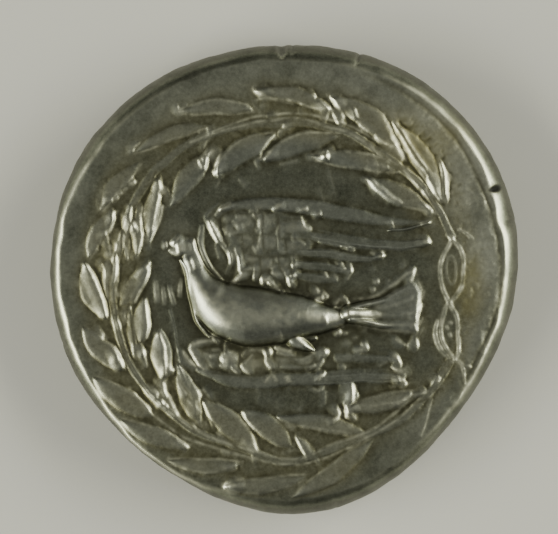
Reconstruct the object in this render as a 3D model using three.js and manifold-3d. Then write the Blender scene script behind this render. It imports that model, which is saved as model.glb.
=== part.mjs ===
// A struck silver coin that lies face up: a thick hand-made flan, a flying dove
// in an olive wreath on the upper face, and a worn striding beast on the lower.
// Millimetres, +Z up. The lowest worn points of the under face lie on z = 0.
import * as THREE from 'three';
import { mergeVertices } from 'three/addons/utils/BufferGeometryUtils.js';
import Module from 'manifold-3d';

const wasm = await Module();
wasm.setup();

// ---------------------------------------------------------------- flan
const EDGE_RADIUS = 11.83;          // mean radius of the outline
const EDGE_WAVES = [[1, 0.356, 80], [2, 0.084, 108], [3, 0.271, 103], [4, 0.092, 49], [5, 0.070, -43]];
const FACE_RADIUS = 11.13;          // mean radius where the struck face ends
const FACE_WAVES = [[1, 0.236, 100], [2, 0.150, 67], [3, 0.225, 101], [6, 0.050, -50]];
const FLAN_STEPS = 84;              // facets round the outline
const FIELD_TOP = 3.10;             // height of the upper field
const FIELD_BOTTOM = 0.24;          // height of the middle of the lower field
const FIELD_FLAT = 7.2;             // the lower face is convex: level to this radius
const FIELD_FALL = 0.085;           // and then drawn back by this slope
const LIP_HIGH = 0.08;              // raised lip round the struck face
const LIP_WIDE = 0.75;
const BELLY = 1.72;                 // height where the flan is widest
const SINK = 0.16;                  // how far relief is rooted in the field
const WORN = 0.80;                  // share of the cut height left on wreath, wings and knobs
const SHORTEST_EDGE = 0.012;        // shorter edges are closed up

// ---------------------------------------------------------------- wreath
// leaf: tip x, tip y, base x, base y, width, outward bow, height
const OUTER_LEAVES = [
  [7.85, 6.15, 8.30, 3.65, 0.50, 0.10, 0.30], [5.45, 7.90, 7.90, 4.05, 0.95, 0.20, 0.34],
  [2.45, 9.10, 5.70, 6.70, 1.05, 0.25, 0.34], [-1.45, 9.40, 2.40, 8.60, 0.80, 0.25, 0.36],
  [-5.10, 8.40, -1.55, 8.60, 0.80, 0.25, 0.34], [-7.35, 6.45, -3.85, 7.70, 0.75, 0.25, 0.32],
  [-9.10, 3.55, -7.10, 5.85, 0.70, 0.25, 0.32], [-9.70, 1.20, -8.35, 3.45, 0.75, 0.25, 0.30],
  [0.50, -10.80, 4.50, -8.05, 0.90, 0.20, 0.34], [-3.05, -10.30, 1.05, -9.90, 0.80, 0.15, 0.32],
  [-5.65, -9.15, -2.10, -9.20, 0.75, 0.15, 0.32], [-8.10, -7.15, -4.70, -8.35, 0.85, 0.10, 0.34],
  [-9.45, -5.00, -6.50, -6.80, 1.00, 0.10, 0.36], [-10.00, -2.50, -7.85, -4.40, 0.90, 0.10, 0.36],
  [-9.90, 0.75, -8.75, -1.95, 0.85, 0.20, 0.36], [7.70, -5.60, 6.80, -7.85, 0.40, 0.05, 0.25],
];
const INNER_LEAVES = [
  [4.25, 5.05, 7.20, 3.60, 1.00, 0.00, 0.34], [1.50, 6.15, 5.95, 5.60, 0.95, 0.15, 0.34],
  [-1.20, 5.95, 2.75, 7.20, 1.05, 0.20, 0.36], [-3.40, 5.35, -0.50, 7.20, 1.05, 0.15, 0.36],
  [-5.55, 3.80, -3.75, 6.35, 1.00, 0.10, 0.34], [-6.70, 1.85, -6.05, 5.40, 0.75, 0.15, 0.34],
  [-7.30, 1.15, -7.10, 3.70, 0.50, 0.05, 0.28], [-7.80, 1.05, -7.80, 2.90, 0.45, 0.00, 0.28],
  [3.15, -6.55, 7.10, -5.65, 0.95, -0.05, 0.36], [-0.25, -6.90, 4.30, -7.70, 0.90, -0.10, 0.34],
  [0.65, -7.85, 1.90, -9.25, 0.60, 0.00, 0.28], [-2.05, -6.60, 0.40, -8.30, 1.00, -0.10, 0.36],
  [-4.05, -6.10, -1.30, -8.55, 1.05, -0.10, 0.36], [-5.15, -4.30, -4.20, -7.30, 0.90, 0.00, 0.34],
  [-6.15, -2.45, -5.85, -5.05, 0.90, 0.05, 0.34], [-6.85, -0.90, -7.15, -3.15, 0.75, 0.05, 0.30],
  [-6.65, 0.85, -8.10, -1.20, 0.75, 0.00, 0.32], [-7.65, -1.35, -7.45, -3.80, 0.45, 0.00, 0.26],
  [-8.35, 1.15, -8.50, -1.05, 0.40, 0.00, 0.26], [-8.90, 0.90, -8.70, -1.05, 0.40, 0.00, 0.24],
];
// stem: angle in degrees, radius
const UPPER_STEM = [[14, 8.70], [32, 8.40], [51, 8.05], [71, 8.00], [95, 7.87], [115, 8.10], [133, 8.35], [150, 8.40], [174, 8.45]];
const LOWER_STEM = [[-26, 9.25], [-41, 9.18], [-54, 9.00], [-85, 9.05], [-95, 8.88], [-110, 8.60], [-124, 8.75], [-152, 8.75], [-185, 8.85]];
const STEM_HALF = 0.20, STEM_HIGH = 0.24;

// tie of the wreath: two crossing cords with their middle line at x = TIE_X
const TIE_X = 8.42, TIE_TOP = 2.05, TIE_BOTTOM = -4.0, TIE_SWING = 0.52, TIE_TURNS = 1.0, TIE_HALF = 0.13, TIE_HIGH = 0.30;

// ---------------------------------------------------------------- dove
// limb: path, half widths, heights
const BODY = { path: [[-4.78, 1.90], [-4.66, 1.35], [-4.50, 0.70], [-4.17, -0.05], [-3.70, -0.80], [-3.10, -1.35], [-2.25, -1.70], [-1.25, -1.85], [-0.25, -1.90], [0.70, -1.85], [1.70, -1.88], [2.70, -1.89], [3.55, -1.86]],
  half: [0.44, 0.46, 0.52, 0.75, 1.12, 1.40, 1.50, 1.45, 1.30, 1.05, 0.72, 0.48, 0.34], high: [0.30, 0.32, 0.37, 0.54, 0.80, 0.92, 0.91, 0.86, 0.78, 0.68, 0.52, 0.38, 0.30] };
const HEAD = { at: [-4.85, 1.68], size: [0.56, 0.55, 0.26] };
const BROW = { at: [-5.30, 1.72], size: [0.34, 0.42, 0.22] };
const BEAK = { path: [[-5.50, 1.76], [-5.92, 1.76]], half: [0.15, 0.10], high: [0.18, 0.14] };
const LEG = { path: [[0.25, -2.55], [0.75, -2.95], [1.35, -3.35]], half: [0.34, 0.40, 0.16], high: [0.42, 0.48, 0.30] };
const HIP = { path: [[-0.15, -2.70], [0.25, -3.05]], half: [0.26, 0.24], high: [0.40, 0.34] };
const FAR_SHOULDER = { path: [[-4.10, 2.65], [-4.22, 2.00], [-3.95, 1.25], [-3.50, 0.50]], half: [0.17, 0.24, 0.20, 0.12], high: [0.22, 0.26, 0.24, 0.18] };
// tail: fan of quills from the root, and the ragged ridge that ends it
const TAIL_ROOT = [3.25, -1.75], TAIL_HALF = 0.60, TAIL_ANGLES = [13.5, 6.5, 0.5, -6.0, -12.5], TAIL_LONG = 3.55;
const TAIL_QUILL = { half: [0.17, 0.26, 0.30], high: [0.40, 0.34, 0.30] };
const TAIL_END = { path: [[6.62, 0.45], [6.85, -0.35], [7.02, -0.75], [6.86, -1.30], [6.80, -2.05], [6.92, -2.55], [6.78, -3.35]], half: [0.10, 0.14], high: [0.30, 0.42] };

// upper wing: one smooth leading band, long flight feathers, three rows of coverts
const WING_PLATE = [[-3.85, 3.20], [-3.20, 3.75], [-1.70, 4.10], [0.80, 4.05], [1.60, 3.00], [1.80, 1.40], [1.10, 0.45], [0.10, 0.00], [-1.20, 0.25], [-2.60, 0.20], [-2.75, 1.20], [-3.30, 2.30]];
const WING_PLATE_HIGH = 0.13;
const WING_BAND = { path: [[-3.15, 3.60], [-2.20, 3.92], [-0.20, 3.88], [2.00, 3.52], [4.40, 3.15], [7.05, 2.88]], half: [0.16, 0.30, 0.34, 0.36, 0.26, 0.12], high: [0.34, 0.42, 0.42, 0.36, 0.30, 0.22] };
const WING_FRONT = [
  { path: [[-3.20, 3.72], [-3.85, 3.22], [-3.40, 2.30], [-2.80, 1.70], [-2.62, 1.00], [-2.85, 0.32]], half: [0.12, 0.16, 0.20, 0.20, 0.16, 0.12], high: [0.26, 0.34, 0.46, 0.46, 0.40, 0.30] },
  { path: [[-2.35, 1.35], [-2.20, 0.75], [-2.10, 0.30], [-2.75, -0.20]], half: [0.10, 0.13, 0.13, 0.09], high: [0.30, 0.36, 0.36, 0.26] },
];
const WING_FEATHERS = [
  { path: [[1.25, 2.35], [3.20, 1.92], [5.00, 1.72], [7.25, 1.88]], half: [0.26, 0.36, 0.30, 0.20], high: [0.30, 0.34, 0.30, 0.28] },
  { path: [[0.90, 1.55], [2.40, 1.22], [3.90, 1.02], [4.95, 1.20]], half: [0.24, 0.32, 0.28, 0.14], high: [0.28, 0.32, 0.28, 0.30] },
  { path: [[0.60, 0.85], [2.00, 0.62], [3.35, 0.48]], half: [0.20, 0.25, 0.20], high: [0.26, 0.28, 0.28] },
  { path: [[0.70, 0.30], [1.70, 0.10], [2.60, -0.05]], half: [0.18, 0.22, 0.14], high: [0.22, 0.24, 0.20] },
];
// coverts: columns by x, rows by y, each a small rounded scale
const COVERT_COLUMNS = [[-2.15, 3.15], [-1.15, 3.10], [-0.15, 2.90], [0.95, 2.70]];
const COVERT_ROWS = 4, COVERT_STEP = 0.66, COVERT_LEAN = 0.05, COVERT_SIZE = [0.42, 0.26, 0.18];

// lower wing
const LOW_PLATE = [[-4.85, -3.60], [-4.30, -3.20], [-3.20, -3.10], [-1.00, -3.50], [1.50, -3.50], [1.90, -4.20], [1.80, -5.20], [0.30, -5.40], [-2.20, -5.20], [-3.60, -4.75], [-4.60, -4.10]];
const LOW_PLATE_HIGH = 0.12;
const LOW_BAND = { path: [[-4.20, -4.55], [-2.90, -4.90], [-1.20, -5.10], [0.80, -5.00], [3.20, -4.92], [5.95, -5.00]], half: [0.20, 0.30, 0.32, 0.34, 0.26, 0.14], high: [0.30, 0.34, 0.36, 0.36, 0.30, 0.22] };
const LOW_FRONT = [
  { path: [[-4.95, -3.68], [-4.75, -4.05], [-4.35, -4.45]], half: [0.12, 0.16, 0.12], high: [0.28, 0.32, 0.26] },
  { path: [[-3.80, -3.20], [-4.65, -3.45], [-4.45, -3.95], [-4.10, -4.40]], half: [0.10, 0.16, 0.17, 0.12], high: [0.24, 0.38, 0.42, 0.32] },
];
const LOW_FEATHERS = [
  { path: [[1.90, -4.00], [3.50, -3.92], [5.70, -3.95]], half: [0.22, 0.26, 0.22], high: [0.24, 0.28, 0.30] },
  { path: [[2.10, -4.65], [4.00, -4.58], [5.90, -4.48]], half: [0.16, 0.20, 0.16], high: [0.24, 0.28, 0.30] },
];
const LOW_RIDGE = { path: [[-1.95, -3.75], [-1.50, -3.48], [-0.90, -3.60], [0.10, -3.58], [1.40, -3.68]], half: [0.10, 0.14, 0.12, 0.15, 0.10], high: [0.28, 0.32, 0.28, 0.34, 0.24] };

// single knobs: x, y, radius, height
const KNOBS = [
  [-2.95, -3.95, 0.22, 0.42], [-1.90, -4.45, 0.24, 0.42], [-0.65, -4.35, 0.20, 0.38], [-0.62, -3.65, 0.14, 0.34],
  [-0.60, -4.90, 0.22, 0.44], [0.25, -5.00, 0.16, 0.40], [1.85, -4.75, 0.22, 0.42], [2.05, -3.60, 0.24, 0.40],
  [1.72, -0.50, 0.14, 0.36], [1.85, -0.92, 0.22, 0.46], [2.30, -0.72, 0.16, 0.36], [3.90, -3.45, 0.24, 0.34],
  [2.85, -2.60, 0.15, 0.36], [0.30, 0.00, 0.17, 0.44], [-1.15, 2.85, 0.20, 0.46], [-1.18, 1.80, 0.18, 0.46],
  [3.53, -5.60, 0.20, 0.36], [3.15, -6.52, 0.16, 0.40],
];
// shallow strokes in the left field, in the place of a mark
const MARK_STROKES = [
  [[-6.35, -0.10], [-6.20, -1.25]], [[-5.95, -0.10], [-5.55, -0.80]], [[-5.80, -1.30], [-5.65, -0.85]],
  [[-5.15, -0.15], [-5.35, -1.25]],
];
const MARK_HALF = 0.15, MARK_HIGH = 0.14;

// damage at the edge: x, y, z, half size in x, y, z
const NICKS = [[0.0, 11.97, 2.55, 0.16, 0.22, 0.55], [3.95, 11.62, 2.50, 0.09, 0.20, 0.45], [10.62, 4.55, 3.34, 0.16, 0.12, 0.28]];

// ---------------------------------------------------------------- under face
const BEAST = [
  { path: [[-4.3, 0.3], [-2.6, 0.8], [0.2, 0.5], [2.6, 0.7], [4.0, 0.3]], half: [0.9, 1.35, 1.0, 1.3, 0.9], high: [0.55, 0.85, 0.75, 0.85, 0.5] },
  { path: [[-3.8, 1.2], [-5.2, 2.3], [-6.4, 2.4]], half: [0.9, 0.95, 0.5], high: [0.65, 0.75, 0.45] },
  { path: [[-3.4, 0.0], [-4.6, -1.9], [-4.1, -4.0], [-5.0, -4.4]], half: [0.6, 0.46, 0.32, 0.30], high: [0.55, 0.50, 0.45, 0.45] },
  { path: [[-2.4, -0.2], [-2.6, -2.2], [-1.6, -4.0], [-2.4, -4.4]], half: [0.6, 0.44, 0.32, 0.30], high: [0.50, 0.45, 0.42, 0.42] },
  { path: [[2.8, 0.0], [2.0, -1.9], [3.0, -3.8], [2.0, -4.3]], half: [0.8, 0.50, 0.32, 0.30], high: [0.55, 0.50, 0.45, 0.45] },
  { path: [[3.8, 0.2], [4.4, -1.8], [5.4, -3.8], [4.5, -4.3]], half: [0.8, 0.48, 0.32, 0.30], high: [0.55, 0.48, 0.45, 0.45] },
  { path: [[4.2, 0.8], [6.0, 1.6], [6.6, 3.4], [5.2, 4.6], [4.4, 4.2]], half: [0.34, 0.28, 0.26, 0.26, 0.34], high: [0.42, 0.45, 0.45, 0.45, 0.45] },
  { path: [[0.6, 1.2], [0.4, 3.0], [-0.7, 3.7]], half: [0.55, 0.42, 0.34], high: [0.50, 0.50, 0.42] },
  { path: [[0.6, 3.4], [1.6, 4.4], [1.9, 5.2]], half: [0.16, 0.14, 0.10], high: [0.34, 0.32, 0.28] },
];
const BEAST_STEP_LONG = 6.0, BEAST_STEP_Y = -5.0;

// ---------------------------------------------------------------- helpers
const wave = (t, base, terms) => terms.reduce((r, [k, a, p]) => r + a * Math.cos(k * t - THREE.MathUtils.degToRad(p)), base);
const edgeRadius = (t) => wave(t, EDGE_RADIUS, EDGE_WAVES);
const faceRadius = (t) => wave(t, FACE_RADIUS, FACE_WAVES);
const topField = () => FIELD_TOP;
const bottomField = (x, y) => FIELD_BOTTOM + FIELD_FALL * Math.max(0, Math.hypot(x, y) - FIELD_FLAT);

function toManifold(geometry) {
  geometry.deleteAttribute('normal');
  geometry.deleteAttribute('uv');
  const g = mergeVertices(geometry, 1e-4);
  const idx = [];
  for (let i = 0; i < g.index.count; i += 3) {
    const [a, b, c] = [g.index.getX(i), g.index.getX(i + 1), g.index.getX(i + 2)];
    if (a !== b && b !== c && c !== a) idx.push(a, b, c);
  }
  const mesh = new wasm.Mesh({ numProp: 3, vertProperties: Float32Array.from(g.attributes.position.array), triVerts: Uint32Array.from(idx) });
  return new wasm.Manifold(mesh);
}

// value along a list of sizes, t from 0 to 1
function along(list, t) {
  const s = t * (list.length - 1), i = Math.min(Math.floor(s), list.length - 2);
  return THREE.MathUtils.lerp(list[i], list[i + 1], s - i);
}

// a rounded limb drawn out along a path in the field; side is +1 for the upper face
function limb({ path, half, high }, { ring = 8, steps = 8, side = 1, blunt = 0.6, worn = side > 0 ? WORN : 1 } = {}) {
  const curve = new THREE.CatmullRomCurve3(path.map(([x, y]) => new THREE.Vector3(x, y, 0)), false, 'centripetal');
  const geo = new THREE.SphereGeometry(1, ring, steps);
  const pos = geo.attributes.position;
  const v = new THREE.Vector3();
  for (let i = 0; i < pos.count; i++) {
    v.fromBufferAttribute(pos, i);
    const polar = Math.acos(THREE.MathUtils.clamp(v.y, -1, 1)) / Math.PI;
    const t = THREE.MathUtils.clamp(polar, 0, 1);
    const point = curve.getPointAt(t), tangent = curve.getTangentAt(t);
    const end = Math.pow(Math.sin(Math.PI * t), blunt);
    const around = Math.hypot(v.x, v.z) > 1e-6 ? Math.atan2(v.z, v.x) : 0;
    const w = end < 1e-6 ? 0 : along(half, t) * end * Math.cos(around);
    const h = end < 1e-6 ? 0 : Math.sin(around) * Math.pow(end, 0.7);
    const x = point.x - tangent.y * w, y = point.y + tangent.x * w;
    const rise = h > 0 ? along(high, t) * worn * h : SINK * h * 1.6;
    const z = side > 0 ? topField(x, y) + rise : bottomField(x, y) - rise;
    pos.setXYZ(i, x, y, z);
  }
  if (side < 0) geo.index.array.reverse();
  return toManifold(geo);
}

function leaf([tx, ty, bx, by, width, bow, height]) {
  const cx = (tx + bx) / 2, cy = (ty + by) / 2, r = Math.hypot(cx, cy);
  const mid = [cx + (cx / r) * bow, cy + (cy / r) * bow];
  const w = width / 2;
  return limb({ path: [[bx, by], mid, [tx, ty]], half: [w * 0.8, w * 1.06, w * 1.0], high: [height * 0.8, height, height] }, { ring: 6, steps: 7, blunt: 0.8 });
}

function knob([x, y, r, h]) {
  const geo = new THREE.SphereGeometry(1, 6, 4);
  geo.rotateX(Math.PI / 2);
  geo.scale(r, r, h * WORN);
  geo.translate(x, y, topField(x, y));
  return toManifold(geo);
}

function plate(outline, high) {
  const shape = new THREE.Shape(outline.map(([x, y]) => new THREE.Vector2(x, y)));
  const geo = new THREE.ExtrudeGeometry(shape, { depth: high + SINK, bevelEnabled: false });
  geo.translate(0, 0, topField(0, 2.5) - SINK);
  return toManifold(geo);
}

const polar = ([deg, r]) => [r * Math.cos(THREE.MathUtils.degToRad(deg)), r * Math.sin(THREE.MathUtils.degToRad(deg))];

// ---------------------------------------------------------------- flan solid
function flan() {
  // rows from the under face round the edge to the upper face: [radius rule, height rule]
  const rows = [
    [() => 0, () => FIELD_BOTTOM],
    [() => FIELD_FLAT, () => FIELD_BOTTOM],
    [(f, e) => e - 0.75, (r) => bottomField(r, 0) + 0.06],
    [(f, e) => e - 0.30, () => 1.02],
    [(f, e) => e, () => BELLY],
    [(f, e) => e - 0.12, () => 2.30],
    [(f, e) => e - 0.42 * (e - f) - 0.05, () => 2.82],
    [(f) => f, (r) => topField(r, 0) + LIP_HIGH * 0.55],
    [(f) => f - 0.18, (r) => topField(r, 0) + LIP_HIGH],
    [(f) => f - LIP_WIDE, () => FIELD_TOP],
    [() => 0, () => FIELD_TOP],
  ];
  const guide = rows.map(([rad, high]) => {
    const r = rad(FACE_RADIUS, EDGE_RADIUS);
    return new THREE.Vector2(r, high(r));
  });
  const geo = new THREE.LatheGeometry(guide, FLAN_STEPS);
  const pos = geo.attributes.position;
  for (let i = 0; i < pos.count; i++) {
    const row = i % rows.length, step = Math.floor(i / rows.length) % FLAN_STEPS;
    const t = (step / FLAN_STEPS) * 2 * Math.PI;
    const [rad, high] = rows[row];
    const r = rad(faceRadius(t), edgeRadius(t));
    pos.setXYZ(i, r * Math.cos(t), r * Math.sin(t), high(r));
  }
  return toManifold(geo);
}

let coin = flan();
if (coin.volume() < 0) throw new Error('flan is inside out');
const join = (m) => { coin = coin.add(m); };

// wreath
for (const l of [...OUTER_LEAVES, ...INNER_LEAVES]) join(leaf(l));
for (const stem of [UPPER_STEM, LOWER_STEM]) {
  join(limb({ path: stem.map(polar), half: [STEM_HALF, STEM_HALF], high: [STEM_HIGH, STEM_HIGH] }, { ring: 6, steps: 26, blunt: 0.25 }));
}
for (const turn of [1, -1]) {
  const path = [];
  for (let i = 0; i <= 12; i++) {
    const t = i / 12;
    path.push([TIE_X + turn * TIE_SWING * Math.sin(2 * Math.PI * TIE_TURNS * t) * (i < 6 ? 1 : -1), TIE_TOP + (TIE_BOTTOM - TIE_TOP) * t]);
  }
  join(limb({ path, half: [TIE_HALF, TIE_HALF], high: [TIE_HIGH, TIE_HIGH] }, { ring: 6, steps: 18, blunt: 0.3 }));
}
join(limb({ path: [[8.45, -3.9], [8.95, -4.3], [9.1, -5.1]], half: [0.14, 0.12], high: [0.24, 0.2] }, { ring: 6, steps: 5 }));

// dove
join(limb(BODY, { ring: 14, steps: 20, blunt: 0.35, worn: 1 }));
for (const { at: [x, y], size } of [HEAD, BROW]) {
  const geo = new THREE.SphereGeometry(1, 10, 6);
  geo.rotateX(Math.PI / 2);
  geo.scale(...size);
  geo.translate(x, y, topField(x, y));
  join(toManifold(geo));
}
join(limb(BEAK, { ring: 6, steps: 4, worn: 1 }));
for (const part of [LEG, HIP]) join(limb(part, { ring: 8, steps: 6, worn: 0.8 }));
join(limb(FAR_SHOULDER, { ring: 6, steps: 8 }));
for (const deg of TAIL_ANGLES) {
  const a = THREE.MathUtils.degToRad(deg);
  const start = [TAIL_ROOT[0], TAIL_ROOT[1] + TAIL_HALF * Math.sin(a) * 2.2];
  join(limb({ path: [start, [start[0] + TAIL_LONG * Math.cos(a), start[1] + TAIL_LONG * Math.sin(a)]], ...TAIL_QUILL }, { ring: 6, steps: 6, blunt: 0.3 }));
}
join(limb(TAIL_END, { ring: 6, steps: 12, blunt: 0.4 }));

// wings
join(plate(WING_PLATE, WING_PLATE_HIGH));
join(plate(LOW_PLATE, LOW_PLATE_HIGH));
for (const part of [WING_BAND, LOW_BAND, LOW_RIDGE]) join(limb(part, { ring: 8, steps: 12, blunt: 0.45 }));
for (const part of [...WING_FRONT, ...LOW_FRONT]) join(limb(part, { ring: 6, steps: 10, blunt: 0.4 }));
for (const part of [...WING_FEATHERS, ...LOW_FEATHERS]) join(limb(part, { ring: 8, steps: 8, blunt: 0.35 }));
for (const [x, top] of COVERT_COLUMNS) {
  for (let i = 0; i < COVERT_ROWS; i++) {
    const y = top - i * COVERT_STEP;
    const geo = new THREE.SphereGeometry(1, 6, 4);
    geo.rotateX(Math.PI / 2);
    geo.scale(COVERT_SIZE[0], COVERT_SIZE[1], COVERT_SIZE[2]);
    geo.translate(x + i * COVERT_LEAN, y, topField(x, y) + WING_PLATE_HIGH);
    join(toManifold(geo));
  }
}
for (const k of KNOBS) join(knob(k));
for (const path of MARK_STROKES) join(limb({ path, half: [MARK_HALF, MARK_HALF], high: [MARK_HIGH, MARK_HIGH] }, { ring: 6, steps: 4, blunt: 0.4 }));

// beast of the under face
for (const part of BEAST) join(limb(part, { ring: 8, steps: 8, side: -1, blunt: 0.4 }));
join(limb({ path: [[-BEAST_STEP_LONG, BEAST_STEP_Y], [BEAST_STEP_LONG, BEAST_STEP_Y]], half: [0.16, 0.16], high: [0.3, 0.3] }, { ring: 6, steps: 6, side: -1, blunt: 0.2 }));

// high points of the under face are worn to one plane, and the edge has nicks
const under = new THREE.BoxGeometry(30, 30, 4);
under.translate(0, 0, -2);
coin = coin.subtract(toManifold(under));
for (const [x, y, z, a, b, c] of NICKS) {
  const geo = new THREE.SphereGeometry(1, 6, 4);
  geo.scale(a, b, c);
  geo.translate(x, y, z);
  coin = coin.subtract(toManifold(geo));
}

// ---------------------------------------------------------------- output
// The cuts leave some very short edges. Each is drawn together to one point,
// where that keeps the surface closed.
function closeShortEdges(position, triangles, limit) {
  const p = (i) => new THREE.Vector3(position[3 * i], position[3 * i + 1], position[3 * i + 2]);
  let tris = triangles;
  for (let pass = 0; pass < 40; pass++) {
    const around = new Map();
    tris.forEach((t) => t.forEach((a, i) => {
      if (!around.has(a)) around.set(a, new Set());
      around.get(a).add(t[(i + 1) % 3]).add(t[(i + 2) % 3]);
    }));
    const short = [];
    for (const [a, near] of around) for (const b of near) if (a < b) {
      const d = p(a).distanceTo(p(b));
      if (d < limit) short.push([d, a, b]);
    }
    if (!short.length) break;
    short.sort((x, y) => x[0] - y[0]);
    const busy = new Set(), move = new Map();
    for (const [, a, b] of short) {
      const both = [...around.get(a)].filter((v) => around.get(b).has(v));
      if (both.length !== 2 || busy.has(a) || busy.has(b)) continue;
      move.set(b, a);
      for (const v of [...around.get(a), ...around.get(b)]) busy.add(v);
    }
    if (!move.size) break;
    tris = tris.map((t) => t.map((v) => move.get(v) ?? v)).filter(([a, b, c]) => a !== b && b !== c && c !== a);
  }
  return tris;
}

const out = coin.getMesh();
const raw = [];
for (let i = 0; i < out.triVerts.length; i += 3) raw.push([out.triVerts[i], out.triVerts[i + 1], out.triVerts[i + 2]]);
const tris = closeShortEdges(out.vertProperties, raw, SHORTEST_EDGE);
const used = [...new Set(tris.flat())], place = new Map(used.map((v, i) => [v, i]));
const geometry = new THREE.BufferGeometry();
geometry.setAttribute('position', new THREE.BufferAttribute(Float32Array.from(used.flatMap((v) => [...out.vertProperties.slice(3 * v, 3 * v + 3)])), 3));
geometry.setIndex(new THREE.BufferAttribute(Uint32Array.from(tris.flat().map((v) => place.get(v))), 1));
// the frame's origin is under the middle of the outline's box
geometry.computeBoundingBox();
const box = geometry.boundingBox;
geometry.translate(-(box.min.x + box.max.x) / 2, -(box.min.y + box.max.y) / 2, -box.min.z);
geometry.computeVertexNormals();

const silver = new THREE.MeshStandardMaterial({ color: 0xb3ae9d, roughness: 0.36, metalness: 1.0 });
const mesh = new THREE.Mesh(geometry, silver);
mesh.name = 'coin';
const group = new THREE.Group();
group.name = 'stater';
group.add(mesh);

export default group;
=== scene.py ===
import math

import bpy
import numpy as np
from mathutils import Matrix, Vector


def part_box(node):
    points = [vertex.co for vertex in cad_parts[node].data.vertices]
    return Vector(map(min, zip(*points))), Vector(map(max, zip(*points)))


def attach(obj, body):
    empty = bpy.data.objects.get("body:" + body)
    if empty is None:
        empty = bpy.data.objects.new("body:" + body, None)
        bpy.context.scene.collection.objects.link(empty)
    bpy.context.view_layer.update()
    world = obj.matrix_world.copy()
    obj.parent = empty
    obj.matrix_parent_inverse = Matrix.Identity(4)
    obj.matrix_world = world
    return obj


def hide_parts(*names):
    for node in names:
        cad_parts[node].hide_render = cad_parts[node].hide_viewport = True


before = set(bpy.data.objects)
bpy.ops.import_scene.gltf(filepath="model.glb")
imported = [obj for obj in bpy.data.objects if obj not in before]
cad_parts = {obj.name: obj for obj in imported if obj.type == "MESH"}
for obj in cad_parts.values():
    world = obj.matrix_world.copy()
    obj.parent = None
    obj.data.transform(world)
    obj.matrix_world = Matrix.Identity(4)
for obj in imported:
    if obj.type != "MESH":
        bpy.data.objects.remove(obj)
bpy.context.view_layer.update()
rng = np.random.default_rng(11)

# ------------------------------------------------------------------ sizes, mm
EDGE_RADIUS, EDGE_WAVES = 11.83, ((1, 0.356, 80), (2, 0.084, 108), (3, 0.271, 103), (4, 0.092, 49), (5, 0.070, -43))
FACE_RADIUS, FACE_WAVES = 11.13, ((1, 0.236, 100), (2, 0.150, 67), (3, 0.225, 101), (6, 0.050, -50))
FIELD_TOP, FIELD_BOTTOM, FIELD_FLAT, FIELD_FALL = 3.10, 0.24, 7.2, 0.085
BELLY = 1.72
LIP_HIGH = 0.035
LEAF_K = 0.28
BAND_K = 0.26                    # share of the drawn height kept by flat bands
BORDER = 0.090                   # mm over which the side of a flat leaf or vane falls
PLATE = 0.055                     # thickness of the wing panels under the feathers
GRID = 0.025  # pitch of the height grid
SPAN = 12.5
RINGS = 285    # rings of the upper disc; ring i has 8 i points
EDGE_ROWS = 26
TARGET_FACES = 192000

n_grid = int(round(2 * SPAN / GRID)) + 1
axis = np.linspace(-SPAN, SPAN, n_grid)
GX, GY = np.meshgrid(axis, axis)          # GX changes along columns, GY along rows


def wave(theta, base, terms):
    r = np.full_like(theta, base)
    for k, a, p in terms:
        r = r + a * np.cos(k * theta - math.radians(p))
    return r


def edge_radius(t):
    return wave(t, EDGE_RADIUS, EDGE_WAVES)


def around(t, deg, wide):
    """A smooth hump round the coin, centred at an angle; wide in degrees."""
    d = (np.degrees(t) - deg + 180) % 360 - 180
    return np.exp(-(d / wide) ** 2)


def face_radius(t):
    r = wave(t, FACE_RADIUS, FACE_WAVES)
    r = wave(t, 0.0, ((11, 0.016, 20), (17, 0.016, 200), (24, 0.013, 95), (33, 0.012, 310), (47, 0.010, 150), (61, 0.007, 40))) + r
    return r - 0.12 * around(t, 16.0, 3.2) + 0.05 * around(t, 9.0, 3.5) + 0.03 * around(t, 26.0, 4.0) - 0.05 * around(t, 33.0, 3.0) - 0.05 * around(t, 170.0, 4.0)


def smooth(t):
    t = np.clip(t, 0.0, 1.0)
    return t * t * (3 - 2 * t)


def blur(a, sigma):
    """Gaussian blur of a grid, sigma in mm, through the Fourier transform."""
    f = np.fft.rfft2(a)
    ky = np.fft.fftfreq(a.shape[0], GRID)[:, None]
    kx = np.fft.rfftfreq(a.shape[1], GRID)[None, :]
    return np.fft.irfft2(f * np.exp(-2 * (math.pi * sigma) ** 2 * (kx * kx + ky * ky)), s=a.shape)


def noise(size, seed):
    """Smooth noise of about unit spread; size is the feature size in mm. The same at either grid pitch."""
    m = 1001
    a = np.random.default_rng(seed).standard_normal((m, m))
    f = np.fft.rfft2(a)
    ky = np.fft.fftfreq(m, 0.025)[:, None]
    kx = np.fft.rfftfreq(m, 0.025)[None, :]
    a = np.fft.irfft2(f * np.exp(-2 * (math.pi * size * 0.5) ** 2 * (kx * kx + ky * ky)), s=(m, m))
    a /= a.std()
    return a[::2, ::2].copy() if n_grid < m else a


def line(points, n):
    """n points along a Catmull-Rom curve through the given points, evenly spread."""
    p = np.array(points, float)
    if len(p) == 2:
        t = np.linspace(0, 1, n)[:, None]
        return p[0] * (1 - t) + p[1] * t
    q = np.vstack([2 * p[0] - p[1], p, 2 * p[-1] - p[-2]])
    out = []
    for i in range(1, len(q) - 2):
        t = np.linspace(0, 1, 24, endpoint=False)[:, None]
        a, b, c, d = q[i - 1], q[i], q[i + 1], q[i + 2]
        out.append(0.5 * (2 * b + (c - a) * t + (2 * a - 5 * b + 4 * c - d) * t ** 2 + (3 * b - a - 3 * c + d) * t ** 3))
    out = np.vstack(out + [p[-1:]])
    s = np.concatenate([[0], np.cumsum(np.hypot(*np.diff(out, axis=0).T))])
    w = np.linspace(0, s[-1], n)
    return np.stack([np.interp(w, s, out[:, 0]), np.interp(w, s, out[:, 1])], axis=1)


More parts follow.
